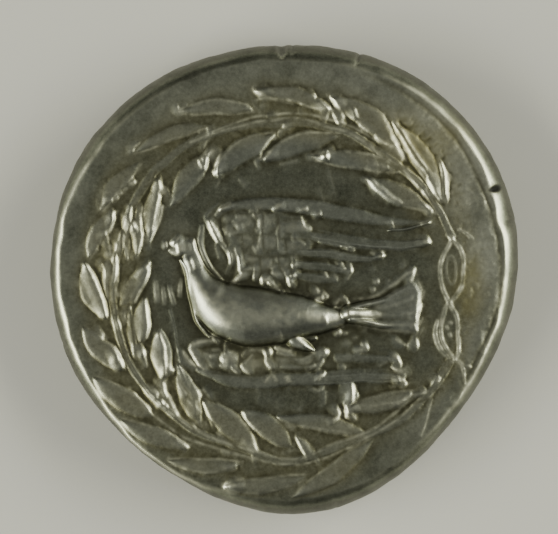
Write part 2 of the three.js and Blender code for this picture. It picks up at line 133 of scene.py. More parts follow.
def spread(v, n):
    v = np.atleast_1d(np.array(v, float))
    if len(v) == 1:
        return np.full(n, v[0])
    return np.interp(np.linspace(0, 1, n), np.linspace(0, 1, len(v)), v)


def section(q, kind):
    """Height of a cross-section at q = distance over half width."""
    q = np.clip(q, 0, 1)
    if kind == "round":
        return (1 - q ** 2.3) ** 0.62
    if kind == "flat":
        return 1 - smooth((q - 0.52) / 0.48)
    if kind == "tent":
        return (1.01489 - np.sqrt(q * q + 0.03)) / 0.84168
    if kind == "body":
        return np.maximum(1 - q * q, 0) ** 0.74
    return (1 - q * q) ** 1.2          # soft


def stroke_map(points, half, high, kind="round", point=0.0, lean=0.0, back=1.6, soft_side=0.0):
    """The window and the height map of one drawn stroke. point tapers its width towards both ends."""
    p = np.array(points, float)
    length = np.hypot(*np.diff(p, axis=0).T).sum()
    hmax = float(np.max(half)) * ((1.1 + back) if lean else 1.0)
    n = int(np.clip(length / (0.08 if length < 8 else 0.16), 6, 160))
    c = line(points, n)
    w, h = spread(half, n), spread(high, n)
    if point:
        t = np.linspace(0, 1, n)
        w = w * np.clip(np.sin(math.pi * np.clip(t, 0.012, 0.988)), 0, 1) ** point
    i0 = max(int((c[:, 1].min() - hmax + SPAN) / GRID) - 1, 0)
    i1 = min(int((c[:, 1].max() + hmax + SPAN) / GRID) + 3, n_grid)
    j0 = max(int((c[:, 0].min() - hmax + SPAN) / GRID) - 1, 0)
    j1 = min(int((c[:, 0].max() + hmax + SPAN) / GRID) + 3, n_grid)
    m = np.zeros((i1 - i0, j1 - j0))
    for k in range(n - 1):
        a, b = c[k], c[k + 1]
        r = max(w[k], w[k + 1]) * ((1.1 + back) if lean else 1.0)
        a0 = max(int((min(a[1], b[1]) - r + SPAN) / GRID) - i0, 0)
        a1 = min(int((max(a[1], b[1]) + r + SPAN) / GRID) + 2 - i0, m.shape[0])
        b0 = max(int((min(a[0], b[0]) - r + SPAN) / GRID) - j0, 0)
        b1 = min(int((max(a[0], b[0]) + r + SPAN) / GRID) + 2 - j0, m.shape[1])
        if a1 <= a0 or b1 <= b0:
            continue
        x, y = GX[i0 + a0:i0 + a1, j0 + b0:j0 + b1], GY[i0 + a0:i0 + a1, j0 + b0:j0 + b1]
        d = b - a
        u = np.clip(((x - a[0]) * d[0] + (y - a[1]) * d[1]) / max(d @ d, 1e-12), 0, 1)
        dist = np.hypot(x - a[0] - u * d[0], y - a[1] - u * d[1])
        ww = w[k] + (w[k + 1] - w[k]) * u
        hh = h[k] + (h[k + 1] - h[k]) * u
        if lean:
            ww = ww * (1 + back * smooth(0.5 + 0.5 * lean * (x - a[0] - u * d[0]) / np.maximum(dist, 1e-6)))
        if kind == "leaf":                                  # flat top, border of one width whatever its size
            away = smooth(0.5 + 0.5 * soft_side * (x - a[0] - u * d[0]) / np.maximum(dist, 1e-6) * smooth(dist / np.maximum(0.5 * ww, 1e-4)))
            v = hh * (1 - np.exp(-np.maximum(ww - dist, 0) / (BORDER + 0.025 * away * abs(soft_side)))) * (1 - 0.10 * np.clip(dist / np.maximum(ww, 1e-4), 0, 1) ** 2)
        else:
            v = hh * section(dist / np.maximum(ww, 1e-4), kind)
        part = m[a0:a1, b0:b1]
        np.maximum(part, v, out=part)
    return (slice(i0, i1), slice(j0, j1)), m


def raise_to(old, ground, m, k):
    """The higher of the old relief and ground + m, blended over about k, with no step where m starts."""
    kk = k * smooth(m / (3 * k)) + 1e-6
    return np.where(m > 1e-4, soft_max(old, ground + m, kk), old)


def soft_max(a, b, k):
    h = np.clip(0.5 + 0.5 * (a - b) / k, 0, 1)
    return b + (a - b) * h + k * h * (1 - h)


def over(points, half, high, kind="round", base=None, point=0.0, k=0.02, soft_side=0.0):
    """Raises the relief to base + stroke where that is higher."""
    win, m = stroke_map(points, half, high, kind, point, soft_side=soft_side)
    ground = FIELD[win] if base is None else base[win]
    H[win] = raise_to(H[win], ground, m, k)


def add(points, half, high, kind="soft", point=0.0):
    win, m = stroke_map(points, half, high, kind, point)
    H[win] += m


HIGHLIGHT_AND_CLEAN = np.zeros_like(GX)          # painted highlight, partly metal rubbed clean


def highlight_and_clean(points, half, amount):
    win, m = stroke_map(points, half, amount, "soft")
    HIGHLIGHT_AND_CLEAN[win] = np.maximum(HIGHLIGHT_AND_CLEAN[win], m)


def ridge(points, half, high, back=1.6):
    """A small worn ridge on whatever relief is there: near 30 degrees on the side it shows, a longer slope behind,
    with a painted highlight along it.
    On a flank that already leans, only the painted highlight is added, partly standing for metal rubbed clean."""
    h = np.atleast_1d(np.array(half, float)) * 0.95
    p = np.array(points, float)
    m = p.mean(0)
    dull = 0.57 * math.exp(-((m[0] + 2.1) / 3.4) ** 4 - ((m[1] + 7.6) / 1.6) ** 4) + 0.25 * math.exp(-((m[0] + 0.6) / 3.4) ** 4 - ((m[1] - 1.9) / 2.1) ** 4) + 0.14 * math.exp(-((m[0] - 0.3) / 4.5) ** 4 - ((m[1] + 4.0) / 1.2) ** 4)
    bright = min(1.0, float(np.max(high)) / 0.38) * (1 - dull)
    i, j = int((m[1] + SPAN) / GRID), int((m[0] + SPAN) / GRID)
    g = int(round(0.12 / GRID))
    rise = H[i, j + g] - FIELD[i, j + g] - H[i, j - g] + FIELD[i, j - g]
    if abs(rise) < 0.075:
        lean = 1.0 if m[0] > -4.2 and (rise > 0.02 or (rise > -0.02 and m[0] < 0.8)) else -1.0
        w = 1.22 * h
        if np.hypot(*m) > 6.0:
            back = back * 1.55
        win, mm = stroke_map(p + [0.22 * back * lean * float(w.mean()), 0], w, 0.60 * w * bright ** 0.95, "tent", 0.0, lean, back)
        H[win] += mm
    highlight_and_clean(points, h * 1.15, bright ** 1.25)


PAINTED_SHADE = np.zeros_like(GX)           # painted shade, darkening the colour where it is set


def paint_shade(points, half, amount):
    win, m = stroke_map(points, half, amount, "soft")
    PAINTED_SHADE[win] = np.maximum(PAINTED_SHADE[win], m)


def knob(x, y, r, high):
    ridge([[x - 0.01, y], [x + 0.01, y]], r * 1.05, high, 0.9)


def fill(points, high, soft, base=None):
    """Raises a closed outline to a flat panel with soft borders."""
    p = line(points + [points[0]], 90)
    i0, i1 = int((p[:, 1].min() + SPAN) / GRID), int((p[:, 1].max() + SPAN) / GRID) + 2
    j0, j1 = int((p[:, 0].min() + SPAN) / GRID), int((p[:, 0].max() + SPAN) / GRID) + 2
    x, y = GX[i0:i1, j0:j1], GY[i0:i1, j0:j1]
    inside = np.zeros(x.shape, bool)
    near = np.full(x.shape, 1e9)
    for a, b in zip(p[:-1], p[1:]):
        cross = (a[1] > y) != (b[1] > y)
        with np.errstate(divide="ignore", invalid="ignore"):
            xc = (b[0] - a[0]) * (y - a[1]) / (b[1] - a[1] + 1e-15) + a[0]
        inside ^= cross & (x < xc)
        d = b - a
        u = np.clip(((x - a[0]) * d[0] + (y - a[1]) * d[1]) / max(d @ d, 1e-12), 0, 1)
        near = np.minimum(near, np.hypot(x - a[0] - u * d[0], y - a[1] - u * d[1]))
    m = high * smooth(near / soft) * inside
    win = (slice(i0, i1), slice(j0, j1))
    ground = FIELD[win] if base is None else base[win]
    H[win] = raise_to(H[win], ground, m, 0.01)


# ------------------------------------------------------------------ upper face
R = np.hypot(GX, GY)
T = np.arctan2(GY, GX)
RF = face_radius(T)
INWARD = RF - R                                   # distance inside the end of the struck face

FIELD = np.full_like(GX, FIELD_TOP)
FIELD += 0.018 * noise(3.4, 3) * smooth((INWARD - 0.3) / 2.0)
FIELD += 0.004 * noise(0.9, 4)
# the struck face ends in a soft lip, and on the right side a groove runs just inside it
deg = np.degrees(T)
right = smooth((60 - np.abs(deg - 8)) / 22)
FIELD += LIP_HIGH * np.exp(-((INWARD - 0.55) / 0.45) ** 2)
roll = np.clip(0.205 + 0.045 * noise(0.9, 74), 0.11, 0.36)
FIELD -= 0.28 * roll * (0.22 + 0.78 * np.cos(T - 0.18) ** 2) * (np.clip(roll - INWARD, 0, 1.2) / roll) ** 2
GROOVE_DEG = [-34, -26, -20, -15, -5, 5, 17, 27, 40, 52, 64, 76]
GROOVE_R = [10.35, 10.40, 10.45, 10.60, 10.90, 10.90, 10.95, 10.97, 11.18, 11.16, 11.11, 11.05]
groove_r = np.interp(deg, GROOVE_DEG, GROOVE_R)
groove_on = smooth((deg + 34) / 16) * smooth((76 - deg) / 16)
past = R - groove_r                               # distance outside the groove
FIELD += groove_on * (0.03 * smooth((past + 2.4) / 1.8) * smooth((-past + 0.20) / 0.80) + 0.014 * smooth((past - 0.10) / 0.22))
FIELD -= groove_on * (0.022 + 0.006 * noise(0.5, 79)) * np.exp(-(past / 0.15) ** 2)
# metal pulled outwards between wreath and rim leaves fine radial lines there
flow = np.sin(T * 151 + 2.2 * noise(2.2, 5)) * 0.55 + np.sin(T * 263 + 2.0 * noise(1.7, 6)) * 0.45
FIELD += 0.0045 * flow * smooth((R - 9.6) / 0.8) * smooth((INWARD - 0.25) / 0.4) * (0.5 + 0.8 * right)
H = FIELD.copy()

# leaves: tip, base, width, outward bow, height
OUTER = [
    (7.85, 6.15, 8.25, 3.7, 0.45, 0.1, 0.26),
    (5.45, 7.9, 7.9, 4, 1.1, 0.3, 0.32),
    (2.4, 9.1, 5.75, 6.6, 1.2, 0.35, 0.34),
    (-1.45, 9.45, 2.5, 8.5, 0.85, 0.3, 0.36),
    (-5.15, 8.4, -1.45, 8.55, 0.85, 0.25, 0.34),
    (-7.4, 6.4, -3.8, 7.75, 0.8, 0.25, 0.32),
    (-9.15, 3.5, -7.1, 5.85, 0.85, 0.25, 0.32),
    (-9.7, 1.15, -8.35, 3.5, 0.95, 0.25, 0.3),
    (0.45, -10.85, 4.55, -8, 0.95, 0.2, 0.34),
    (-3.1, -10.3, 1.1, -9.85, 0.9, 0.2, 0.34),
    (-5.7, -9.05, -2, -9.2, 0.85, 0.2, 0.34),
    (-8.1, -7.05, -4.65, -8.35, 1, 0.15, 0.34),
    (-9.5, -4.9, -6.5, -6.85, 1.2, 0.1, 0.36),
    (-10.05, -2.4, -7.85, -4.5, 1.1, 0.1, 0.36),
    (-9.9, 0.85, -8.75, -2, 1.1, 0.25, 0.36),
]
INNER = [
    (4.2, 5.1, 7.25, 3.55, 1.15, 0, 0.34),
    (1.45, 6.15, 6.05, 5.55, 1, 0.15, 0.36),
    (-1.2, 5.95, 2.8, 7.2, 1.15, 0.25, 0.36),
    (-3.45, 5.3, -0.45, 7.25, 1.25, 0.2, 0.36),
    (-5.6, 3.7, -3.7, 6.4, 1.1, 0.1, 0.34),
    (-6.7, 1.75, -6.1, 5.4, 0.8, 0.15, 0.34),
    (-7.3, 1.1, -7.2, 3.7, 0.6, 0.05, 0.28),
    (-7.8, 1, -7.9, 2.9, 0.45, 0, 0.28),
    (3.1, -6.55, 7.15, -5.65, 1.05, -0.05, 0.36),
    (-0.3, -6.85, 4.35, -7.75, 1, -0.15, 0.36),
    (0.65, -7.85, 1.9, -9.25, 0.6, 0, 0.26),
    (-2.1, -6.55, 0.45, -8.35, 1.2, -0.15, 0.36),
    (-4.05, -6.05, -1.3, -8.6, 1.25, -0.1, 0.36),
    (-5.2, -4.3, -4.2, -7.4, 1, 0, 0.34),
    (-6.15, -2.4, -5.85, -5.1, 1.05, 0.05, 0.36),
    (-6.85, -0.85, -7.15, -3.25, 0.95, 0.05, 0.32),
    (-6.65, 0.9, -8.15, -1.3, 0.95, 0, 0.32),
    (-7.65, -1.25, -7.45, -3.9, 0.5, 0, 0.28),
    (-8.35, 1.2, -8.5, -1.1, 0.45, 0, 0.28),
    (-8.9, 0.95, -8.7, -1.1, 0.45, 0, 0.26),
]
UPPER_STEM = [(14, 8.70), (32, 8.40), (51, 8.05), (71, 8.00), (95, 7.87), (115, 8.10), (133, 8.35), (150, 8.40), (174, 8.45)]
LOWER_STEM = [(-26, 9.25), (-41, 9.18), (-54, 9.00), (-85, 9.05), (-95, 8.88), (-110, 8.60), (-124, 8.75), (-152, 8.75), (-185, 8.85)]


def ring_point(deg, r):
    return [r * math.cos(math.radians(deg)), r * math.sin(math.radians(deg))]


def draw_stem(stem, seed):
    r = np.random.default_rng(seed)
    pts = [ring_point(*p) for p in stem]
    over(pts, 0.24, 0.045, "soft")
    for shift, wide, high in ((0.15, 0.065, 0.022), (0.0, 0.055, 0.014), (-0.14, 0.065, 0.020)):
        side = [ring_point(d, q + shift + r.uniform(-0.05, 0.05)) for d, q in stem]
        add(side, wide, high, "soft")


def draw_leaf(l, seed):
    tx, ty, bx, by, width, bow, high = l
    r = np.random.default_rng(seed)
    high = high * LEAF_K
    cx, cy = (tx + bx) / 2, (ty + by) / 2
    d = math.hypot(cx, cy)
    mid = [cx + cx / d * bow, cy + cy / d * bow]
    w = width / 2
    over([[bx, by], mid, [tx, ty]], [w * 0.72, w * 0.98, w * 1.04, w * 0.94, w * 0.7], [high * 0.75, high, high, high * 0.95], "leaf", point=0.62, soft_side=-1.0 if cx < -2.5 else 1.0)
    ux, uy = (bx - tx) / math.hypot(bx - tx, by - ty), (by - ty) / math.hypot(bx - tx, by - ty)
    outer = -1.0 if cx < -2.5 else 1.0
    for side in (-1, 1):
        ox, oy = -uy * w * 0.74 * side, ux * w * 0.74 * side
        if ox * outer > 0.05:                   # painted shade along the side that turns away from the middle
            k = 1.30
            edge = [[bx + ox * 0.6 * k, by + oy * 0.6 * k], [(bx + mid[0]) / 2 + ox * 0.95 * k, (by + mid[1]) / 2 + oy * 0.95 * k], [mid[0] + ox * k, mid[1] + oy * k], [(tx + mid[0]) / 2 + ox * 0.9 * k, (ty + mid[1]) / 2 + oy * 0.9 * k], [tx + ox * 0.4 * k, ty + oy * 0.4 * k]]
            paint_shade(edge, 0.105, 0.72)
            continue
        # painted highlight along the side that turns towards the middle, stronger on leaves lying crosswise
        highlight_and_clean([[bx + ox * 0.35, by + oy * 0.35], [(bx + mid[0]) / 2 + ox * 0.9, (by + mid[1]) / 2 + oy * 0.9], [mid[0] + ox, mid[1] + oy], [(tx + mid[0]) / 2 + ox * 0.9, (ty + mid[1]) / 2 + oy * 0.9], [tx + ox * 0.3, ty + oy * 0.3]], 0.055 + 0.02 * ux * ux, r.uniform(0.10, 0.34) + (0.46 if cy > 0 else 0.24) * ux * ux)
    # a faint midrib, off centre like the hand-cut die
    q = r.uniform(-0.12, 0.12) * width
    rib = [[bx + (mid[0] - bx) * 0.35, by + (mid[1] - by) * 0.35 + q], [mid[0], mid[1] + q], [tx + (mid[0] - tx) * 0.35, ty + (mid[1] - ty) * 0.35 + q * 0.5]]
    add(rib, 0.08, r.uniform(0.002, 0.006), "soft", point=0.5)


for i, l in enumerate((UPPER_STEM, LOWER_STEM)):
    draw_stem(l, 30 + i)
for i, l in enumerate(OUTER):
    draw_leaf(l, 40 + i)
for i, l in enumerate(INNER):
    draw_leaf(l, 80 + i)

# painted highlights along the edges of the stems, each on a slight raise
for path in ([[-7.7, -5.4], [-6.35, -6.9], [-4.8, -7.9], [-2.5, -8.65], [-0.4, -9.15], [1.15, -9.2], [3.1, -8.5], [4.25, -7.9], [5.75, -6.9], [6.9, -5.95]], [[-5.95, -6.35], [-4.4, -7.5], [-3.1, -8.05], [-1.15, -8.65], [0.75, -8.95], [2.3, -8.3], [4.25, -7.6], [6.15, -6.15]], [[-3.5, 7.45], [-2.35, 7.9], [-1, 8.25], [0.35, 8.35], [1.6, 8.2], [2.85, 7.9], [5, 6.85]], [[-4.65, 6.85], [-3.3, 7.4], [-1.3, 7.9], [0.35, 8.1], [2, 7.75], [3.7, 7.1], [5.35, 5.85]]):
    add(path, 0.075, .012)
    highlight_and_clean(path, 0.085, .62)

# midribs cut deeper than the rest, each with a painted highlight along it
for path in ([[0.45, -7.35], [1.25, -7.35], [2.1, -7.5], [3.45, -7.7]], [[3.15, -6.4], [3.85, -6.25], [4.8, -6.2], [6.25, -5.95]], [[-4.75, -6.05], [-4.15, -6.65], [-3.5, -7.25]], [[-1.55, 9], [-0.65, 9.05], [0.45, 8.8]]):
    add(path, 0.065, .014)
    highlight_and_clean(path, 0.075, .42)

# short ridges, stalks and berries of the wreath, each with a painted highlight: path, half width, height
for path, half, high in (
    ([[3, 8.25], [3.05, 8.2]], 0.13, .26), ([[3.6, 8.4], [3.7, 8.2]], 0.12, .24), ([[3.65, 8.5], [3.8, 8.15]], 0.065, .30),
    ([[3.85, 7.65], [4.15, 7.45]], 0.12, .20), ([[4.6, 7.2], [4.7, 7.1]], 0.11, .26), ([[5, 8.35], [5.2, 7.9], [5.4, 7.5]], [0.08, 0.11, 0.08], .30),
    ([[5.45, 7.9], [5.65, 7.5], [6, 6.95], [6.45, 6.25], [7.05, 5.4]], [0.06, 0.085, 0.095, 0.09, 0.075], .36), ([[5.95, 7.5], [6.25, 6.95], [6.65, 6.35], [7.15, 5.6]], [0.055, 0.07, 0.07, 0.055], .30),
    ([[7.1, 5.1], [7.4, 4.65], [7.8, 4.1]], [0.12, 0.2, 0.12], .40), ([[5.5, 7.1], [5.75, 6.6], [6.05, 6.1]], [0.15, 0.25, 0.15], .28),
    ([[7.95, 5.85], [8.1, 5.4], [8.2, 4.8], [8.2, 4.3]], [0.07, 0.09, 0.11, 0.07], .30), ([[2.35, 9.15], [2.55, 8.95], [2.8, 8.65]], [0.09, 0.14, 0.09], .40),
    ([[2.25, 9.25], [2.35, 9.05]], 0.09, .28), ([[1.8, 8.8], [2.25, 8.6], [2.45, 8.5]], [0.08, 0.16, 0.1], .40),
    ([[2.3, 8.5], [2.2, 8.1]], 0.1, .28), ([[2.45, 8.45], [2.7, 7.9]], 0.11, .34), ([[1.6, 9.25], [1.65, 9.2]], 0.12, .28), ([[0.75, 8.5], [0.75, 8.35]], 0.1, .12),
    ([[-1.4, 9.45], [-1.2, 9.35], [-0.95, 9.25]], [0.1, 0.17, 0.1], .42), ([[-1.55, 9.6], [-1.5, 9.45]], 0.09, .22), ([[-1.15, 8.75], [-1.1, 8.7]], 0.1, .20),
    ([[-1.55, 8.9], [-1.3, 8.55], [-1, 8.2]], 0.08, .14), ([[-0.85, 8.25], [-0.65, 8.35]], 0.1, .28), ([[-0.7, 8.35], [-0.15, 8.35]], 0.055, .16),
    ([[-5.2, 8.625], [-5.15, 8.425], [-4.95, 8.4]], [0.085, 0.1, 0.07], .42), ([[-4.95, 8.65], [-4.75, 8.75]], 0.07, .24), ([[-7.45, 6.5], [-7.35, 6.7], [-7.15, 6.85]], [0.1, 0.09, 0.06], .40), ([[-1.75, 8.65], [-1.55, 8.5]], 0.08, .24),
    ([[-3.8, 7.55], [-3.7, 7.55]], 0.11, .32), ([[-4.2, 7.35], [-3.85, 7.4]], 0.07, .22), ([[-3.95, 6.6], [-3.75, 7.05], [-3.5, 7.35]], 0.09, .22),
    ([[-4.05, 6.1], [-3.85, 6.3], [-3.55, 6.45]], [0.11, 0.16, 0.12], .40), ([[-3.75, 5.95], [-3.95, 5.65]], 0.09, .30), ([[-3.55, 5.4], [-3.5, 5.3]], 0.11, .28),
    ([[-4.25, 5.95], [-4.1, 5.7]], 0.1, .30), ([[-3.35, 5.3], [-3.35, 5.6], [-3.3, 6], [-3.15, 6.3]], [0.1, 0.14, 0.11, 0.07], .42),
    ([[-1.15, 6.05], [-1.05, 6.5], [-0.75, 6.95], [-0.35, 7.35]], [0.1, 0.07, 0.07, 0.06], .24), ([[-0.45, 7.25], [-0.4, 7.15]], 0.12, .38), ([[-0.15, 7.5], [-0.3, 7.3]], 0.08, .28),
    ([[0, 7.7], [0.1, 7.65]], 0.12, .28), ([[-0.95, 6.1], [-0.7, 6.4], [-0.4, 6.7]], [0.08, 0.11, 0.07], .40), ([[1.5, 6.15], [1.85, 6.15], [2.25, 6.2]], [0.09, 0.1, 0.17], .40),
    ([[1.95, 6.25], [2.15, 6.45]], 0.12, .40), ([[-1.4, 5.85], [-1.3, 5.6]], 0.085, .20), ([[-2.2, 4.95], [-1.95, 4.7]], 0.095, .15), ([[-0.15, 5.8], [0.25, 5.85], [0.7, 5.95]], 0.07, .16),
    ([[-3.35, 4.7], [-3.05, 5.15], [-2.35, 5.55]], 0.065, .13), ([[2.25, 5.7], [2.4, 5.1], [2.65, 4.4], [2.45, 4.3]], 0.065, .10), ([[1.85, 4.45], [2.1, 3.95]], 0.065, .09),
    ([[4.2, 5.05], [4.55, 4.95], [4.85, 4.6], [5.35, 4.2], [5.95, 3.85]], [0.08, 0.11, 0.14, 0.12, 0.08], .38), ([[4.5, 5.5], [4.75, 5.4]], 0.1, .22), ([[5.4, 5.5], [5.6, 5.45]], 0.08, .20),
    ([[6.9, 4.45], [7.05, 4.35]], 0.11, .26), ([[7.2, 3.65], [7.45, 3.45]], 0.11, .36), ([[7.35, 3.35], [7.65, 3.3]], 0.08, .30),
    ([[4.45, 6.55], [4.6, 6.45]], 0.09, .20), ([[4.55, 5.85], [4.75, 5.75]], 0.1, .22), ([[5, 5.7], [5.3, 5.65]], 0.08, .22), ([[6.1, 5.5], [6.4, 5.1], [6.65, 4.75]], 0.11, .22),
    ([[-9.1, 3.6], [-9.1, 4.05], [-8.95, 4.5], [-8.7, 4.85]], [0.07, 0.08, 0.065, 0.05], .24), ([[-8.65, 3.95], [-8.5, 3.95]], 0.1, .30), ([[-8.4, 4.05], [-8.2, 4.1]], 0.095, .28), ([[-8.15, 4.3], [-8, 4.35]], 0.09, .24), ([[-7.9, 4.5], [-7.75, 4.6]], 0.09, .24),
    ([[-7.55, 4.85], [-7.35, 4.95]], 0.12, .34), ([[-6.2, 4.9], [-6.15, 4.7]], 0.12, .34), ([[-6.05, 4.7], [-6, 4.45]], 0.13, .38), ([[-5.75, 4.5], [-5.6, 4.05]], 0.09, .26), ([[-5.6, 3.7], [-5.25, 4]], 0.065, .18),
    ([[-9.6, 1.25], [-9.7, 1.65], [-9.6, 2.1], [-9.35, 2.55]], [0.06, 0.075, 0.06, 0.045], .20), ([[-8.45, 3.4], [-8.4, 3.1]], 0.12, .32), ([[-8.4, 3.05], [-8.55, 2.6], [-8.65, 2.35]], 0.09, .34), ([[-8.8, 2.2], [-8.7, 2]], 0.12, .34), ([[-9.3, 1.45], [-9.05, 1.8]], 0.08, .18),
    ([[-7.5, 3.55], [-7.55, 3], [-7.4, 2.7]], [0.1, 0.13, 0.15], .34), ([[-7.35, 2.85], [-7.25, 2.55]], 0.16, .42), ([[-6.95, 3.65], [-7, 3], [-7, 2.25], [-7.2, 1.6], [-7.35, 1.2]], [0.09, 0.11, 0.1, 0.13, 0.08], .34),
    ([[-6, 3.7], [-6.1, 3.2], [-6.3, 2.6], [-6.65, 2], [-6.8, 2.15], [-7, 2.4]], 0.075, .30), ([[-6.2, 4.2], [-6.35, 3.4], [-6.5, 2.55]], [0.1, 0.09, 0.07], .38), ([[-6.75, 2], [-6.65, 1.65]], 0.1, .16),
    ([[-7.95, 2.2], [-8, 1.65]], 0.15, .30), ([[-7.9, 1.65], [-7.8, 1.1]], 0.09, .28), ([[-8.65, 1.7], [-8.65, 1.25]], 0.1, .28), ([[-8.35, 1.1], [-8.35, 0.6], [-8.4, -0.1]], [0.13, 0.14, 0.08], .38), ([[-8.9, 0.8], [-8.8, 0.2], [-8.7, -1]], [0.11, 0.075, 0.06], .28),
    ([[-8.25, 1.8], [-8.35, 1.1]], 0.08, .24),
    ([[-9.8, 0.75], [-9.55, 0.25], [-9.2, -0.4], [-8.95, -1], [-8.8, -1.75]], [0.07, 0.125, 0.15, 0.14, 0.1], .42), ([[-10.15, 0], [-10.05, -0.55], [-9.75, -1.15]], [0.06, 0.06, 0.045], .15),
    ([[-6.7, 0.85], [-7, 0.55], [-7.2, 0.2]], [0.1, 0.09, 0.06], .34), ([[-6.7, 0.45], [-6.9, -0.1], [-7.2, -0.7], [-7.4, -1.1]], [0.11, 0.11, 0.09, 0.07], .36), ([[-8.25, -0.7], [-8.2, -0.8]], 0.11, .32), ([[-7.8, 0.05], [-8.05, -0.5]], 0.065, .24),
    ([[-7.65, -1.4], [-7.85, -1.65], [-7.8, -2.1]], [0.11, 0.1, 0.085], .28), ([[-6.85, -1], [-6.75, -1.6], [-6.7, -2.3], [-6.8, -2.9]], [0.07, 0.135, 0.145, 0.09], .34), ([[-8.2, -2.05], [-8.1, -2.35]], 0.1, .30),
    ([[-9.95, -2.55], [-9.75, -3.1], [-9.35, -3.7]], 0.055, .18), ([[-9.1, -2.55], [-8.95, -2.75]], 0.12, .30), ([[-8.85, -2.9], [-8.55, -3.25], [-8.25, -3.65]], [0.08, 0.09, 0.14], .36), ([[-8.3, -3.55], [-8.2, -3.75]], 0.14, .40), ([[-8.1, -4], [-8, -4.2]], 0.14, .38),
    ([[-6.2, -2.5], [-6.25, -2.8]], 0.09, .26), ([[-6.15, -2.65], [-6, -3.05], [-5.85, -3.6], [-5.85, -4.7]], [0.08, 0.11, 0.14, 0.1], .36), ([[-7, -3.55], [-6.9, -3.6]], 0.15, .38), ([[-6.85, -3.7], [-6.8, -4.3]], 0.09, .26),
    ([[-5.55, -4.5], [-5.45, -4.55]], 0.13, .34), ([[-5.4, -4.5], [-5.15, -4.35]], 0.085, .24), ([[-5.2, -4.9], [-5.1, -5.4], [-4.85, -5.7]], [0.07, 0.08, 0.09], .28), ([[-5.1, -4.45], [-4.8, -5.1], [-4.45, -5.9]], [0.065, 0.065, 0.05], .20),
    ([[-5.9, -5.15], [-5.85, -5.55], [-5.75, -5.8]], [0.13, 0.14, 0.1], .40), ([[-5.65, -5.8], [-5.5, -6.25], [-5.25, -6.7]], [0.12, 0.14, 0.1], .42), ([[-6.4, -5.5], [-6.2, -5.65]], 0.13, .36), ([[-6.05, -6], [-5.95, -6.1]], 0.14, .34), ([[-5.85, -6.25], [-5.75, -6.3]], 0.12, .32), ([[-6.75, -6.3], [-6.65, -6.45]], 0.1, .24),
    ([[-4.2, -5.6], [-4.1, -5.8]], 0.12, .28), ([[-4, -5.5], [-3.75, -5.75]], 0.09, .22), ([[-3.4, -5.95], [-2.95, -6.4], [-2.5, -6.75]], 0.075, .19), ([[-4, -6.2], [-3.8, -6.7], [-3.6, -7.3]], [0.09, 0.11, 0.08], .40), ([[-4.35, -6.15], [-4.3, -6.65]], 0.12, .30),
    ([[-4.5, -7.2], [-4.4, -7.4]], 0.1, .30), ([[-4.25, -7.15], [-4.1, -7.4]], 0.09, .28), ([[-3.95, -7.1], [-3.85, -7.35]], 0.09, .26), ([[-3.3, -7.65], [-3.1, -7.8]], 0.11, .28),
    ([[-2.05, -6.8], [-2, -6.65], [-1.8, -6.55], [-1.65, -6.65]], [0.1, 0.13, 0.11, 0.09], .42), ([[-1.95, -6.85], [-1.75, -7.2], [-1.35, -7.5]], [0.1, 0.13, 0.08], .38), ([[-1.65, -6.65], [-1.05, -6.8], [-0.7, -7]], 0.06, .14), ([[-1.5, -8], [-1.3, -8.05]], 0.13, .30), ([[-1.6, -8.3], [-1.25, -8.5]], 0.12, .36),
    ([[-0.25, -6.85], [0.05, -7.2], [0.45, -7.45]], [0.1, 0.11, 0.07], .38), ([[0.65, -7.85], [0.85, -8.3], [1.15, -8.9]], [0.09, 0.1, 0.08], .32), ([[-5.15, -8.1], [-4.75, -8.3]], [0.11, 0.14], .34), ([[-3.05, -8.6], [-2.75, -8.65], [-2.3, -8.8]], 0.085, .26), ([[-1.55, -8.85], [-1.5, -9.1]], 0.09, .20),
    ([[-2.95, -10.25], [-2.7, -10.2], [-2.45, -10.2]], [0.11, 0.18, 0.13], .42), ([[-2.55, -9.4], [-2.3, -9.35]], 0.1, .30), ([[0, -8.6], [0.4, -8.6]], 0.09, .22), ([[-0.5, -8.5], [-0.3, -8.6]], 0.09, .20),
    ([[3.15, -6.5], [3.2, -6.55]], 0.16, .42), ([[2.75, -6.45], [2.85, -6.7], [2.6, -6.95]], 0.12, .34), ([[3.5, -5.35], [3.5, -5.9]], 0.17, .40), ([[3.6, -5.85], [3.75, -5.8]], 0.12, .36), ([[1.45, -5.45], [1.8, -5.55], [2.05, -5.35]], 0.08, .22), ([[2.1, -5.65], [2.1, -6.15]], 0.09, .17),
    ([[3, -6.15], [3.1, -6.35]], 0.065, .20), ([[3.15, -6.8], [3.2, -6.85]], 0.1, .18), ([[3.5, -6.8], [3.7, -6.95]], 0.09, .18), ([[5.75, -6.15], [6.05, -5.95], [6.45, -5.7]], [0.08, 0.11, 0.08], .40), ([[6.9, -5.7], [7.1, -5.55]], 0.1, .34), ([[7.65, -5], [7.75, -4.9]], 0.11, .36),
    ([[7.45, -6], [7.2, -6.9], [6.9, -7.75]], 0.07, .22), ([[0.4, -6.4], [0.45, -6.45]], 0.12, .10), ([[0.75, -6.35], [0.75, -6.45]], 0.095, .12), ([[-0.3, -6.1], [-0.25, -6.4]], 0.1, .07), ([[-1.35, -6], [-1.3, -6.1]], 0.12, .07),
):
    ridge(path, half, high)

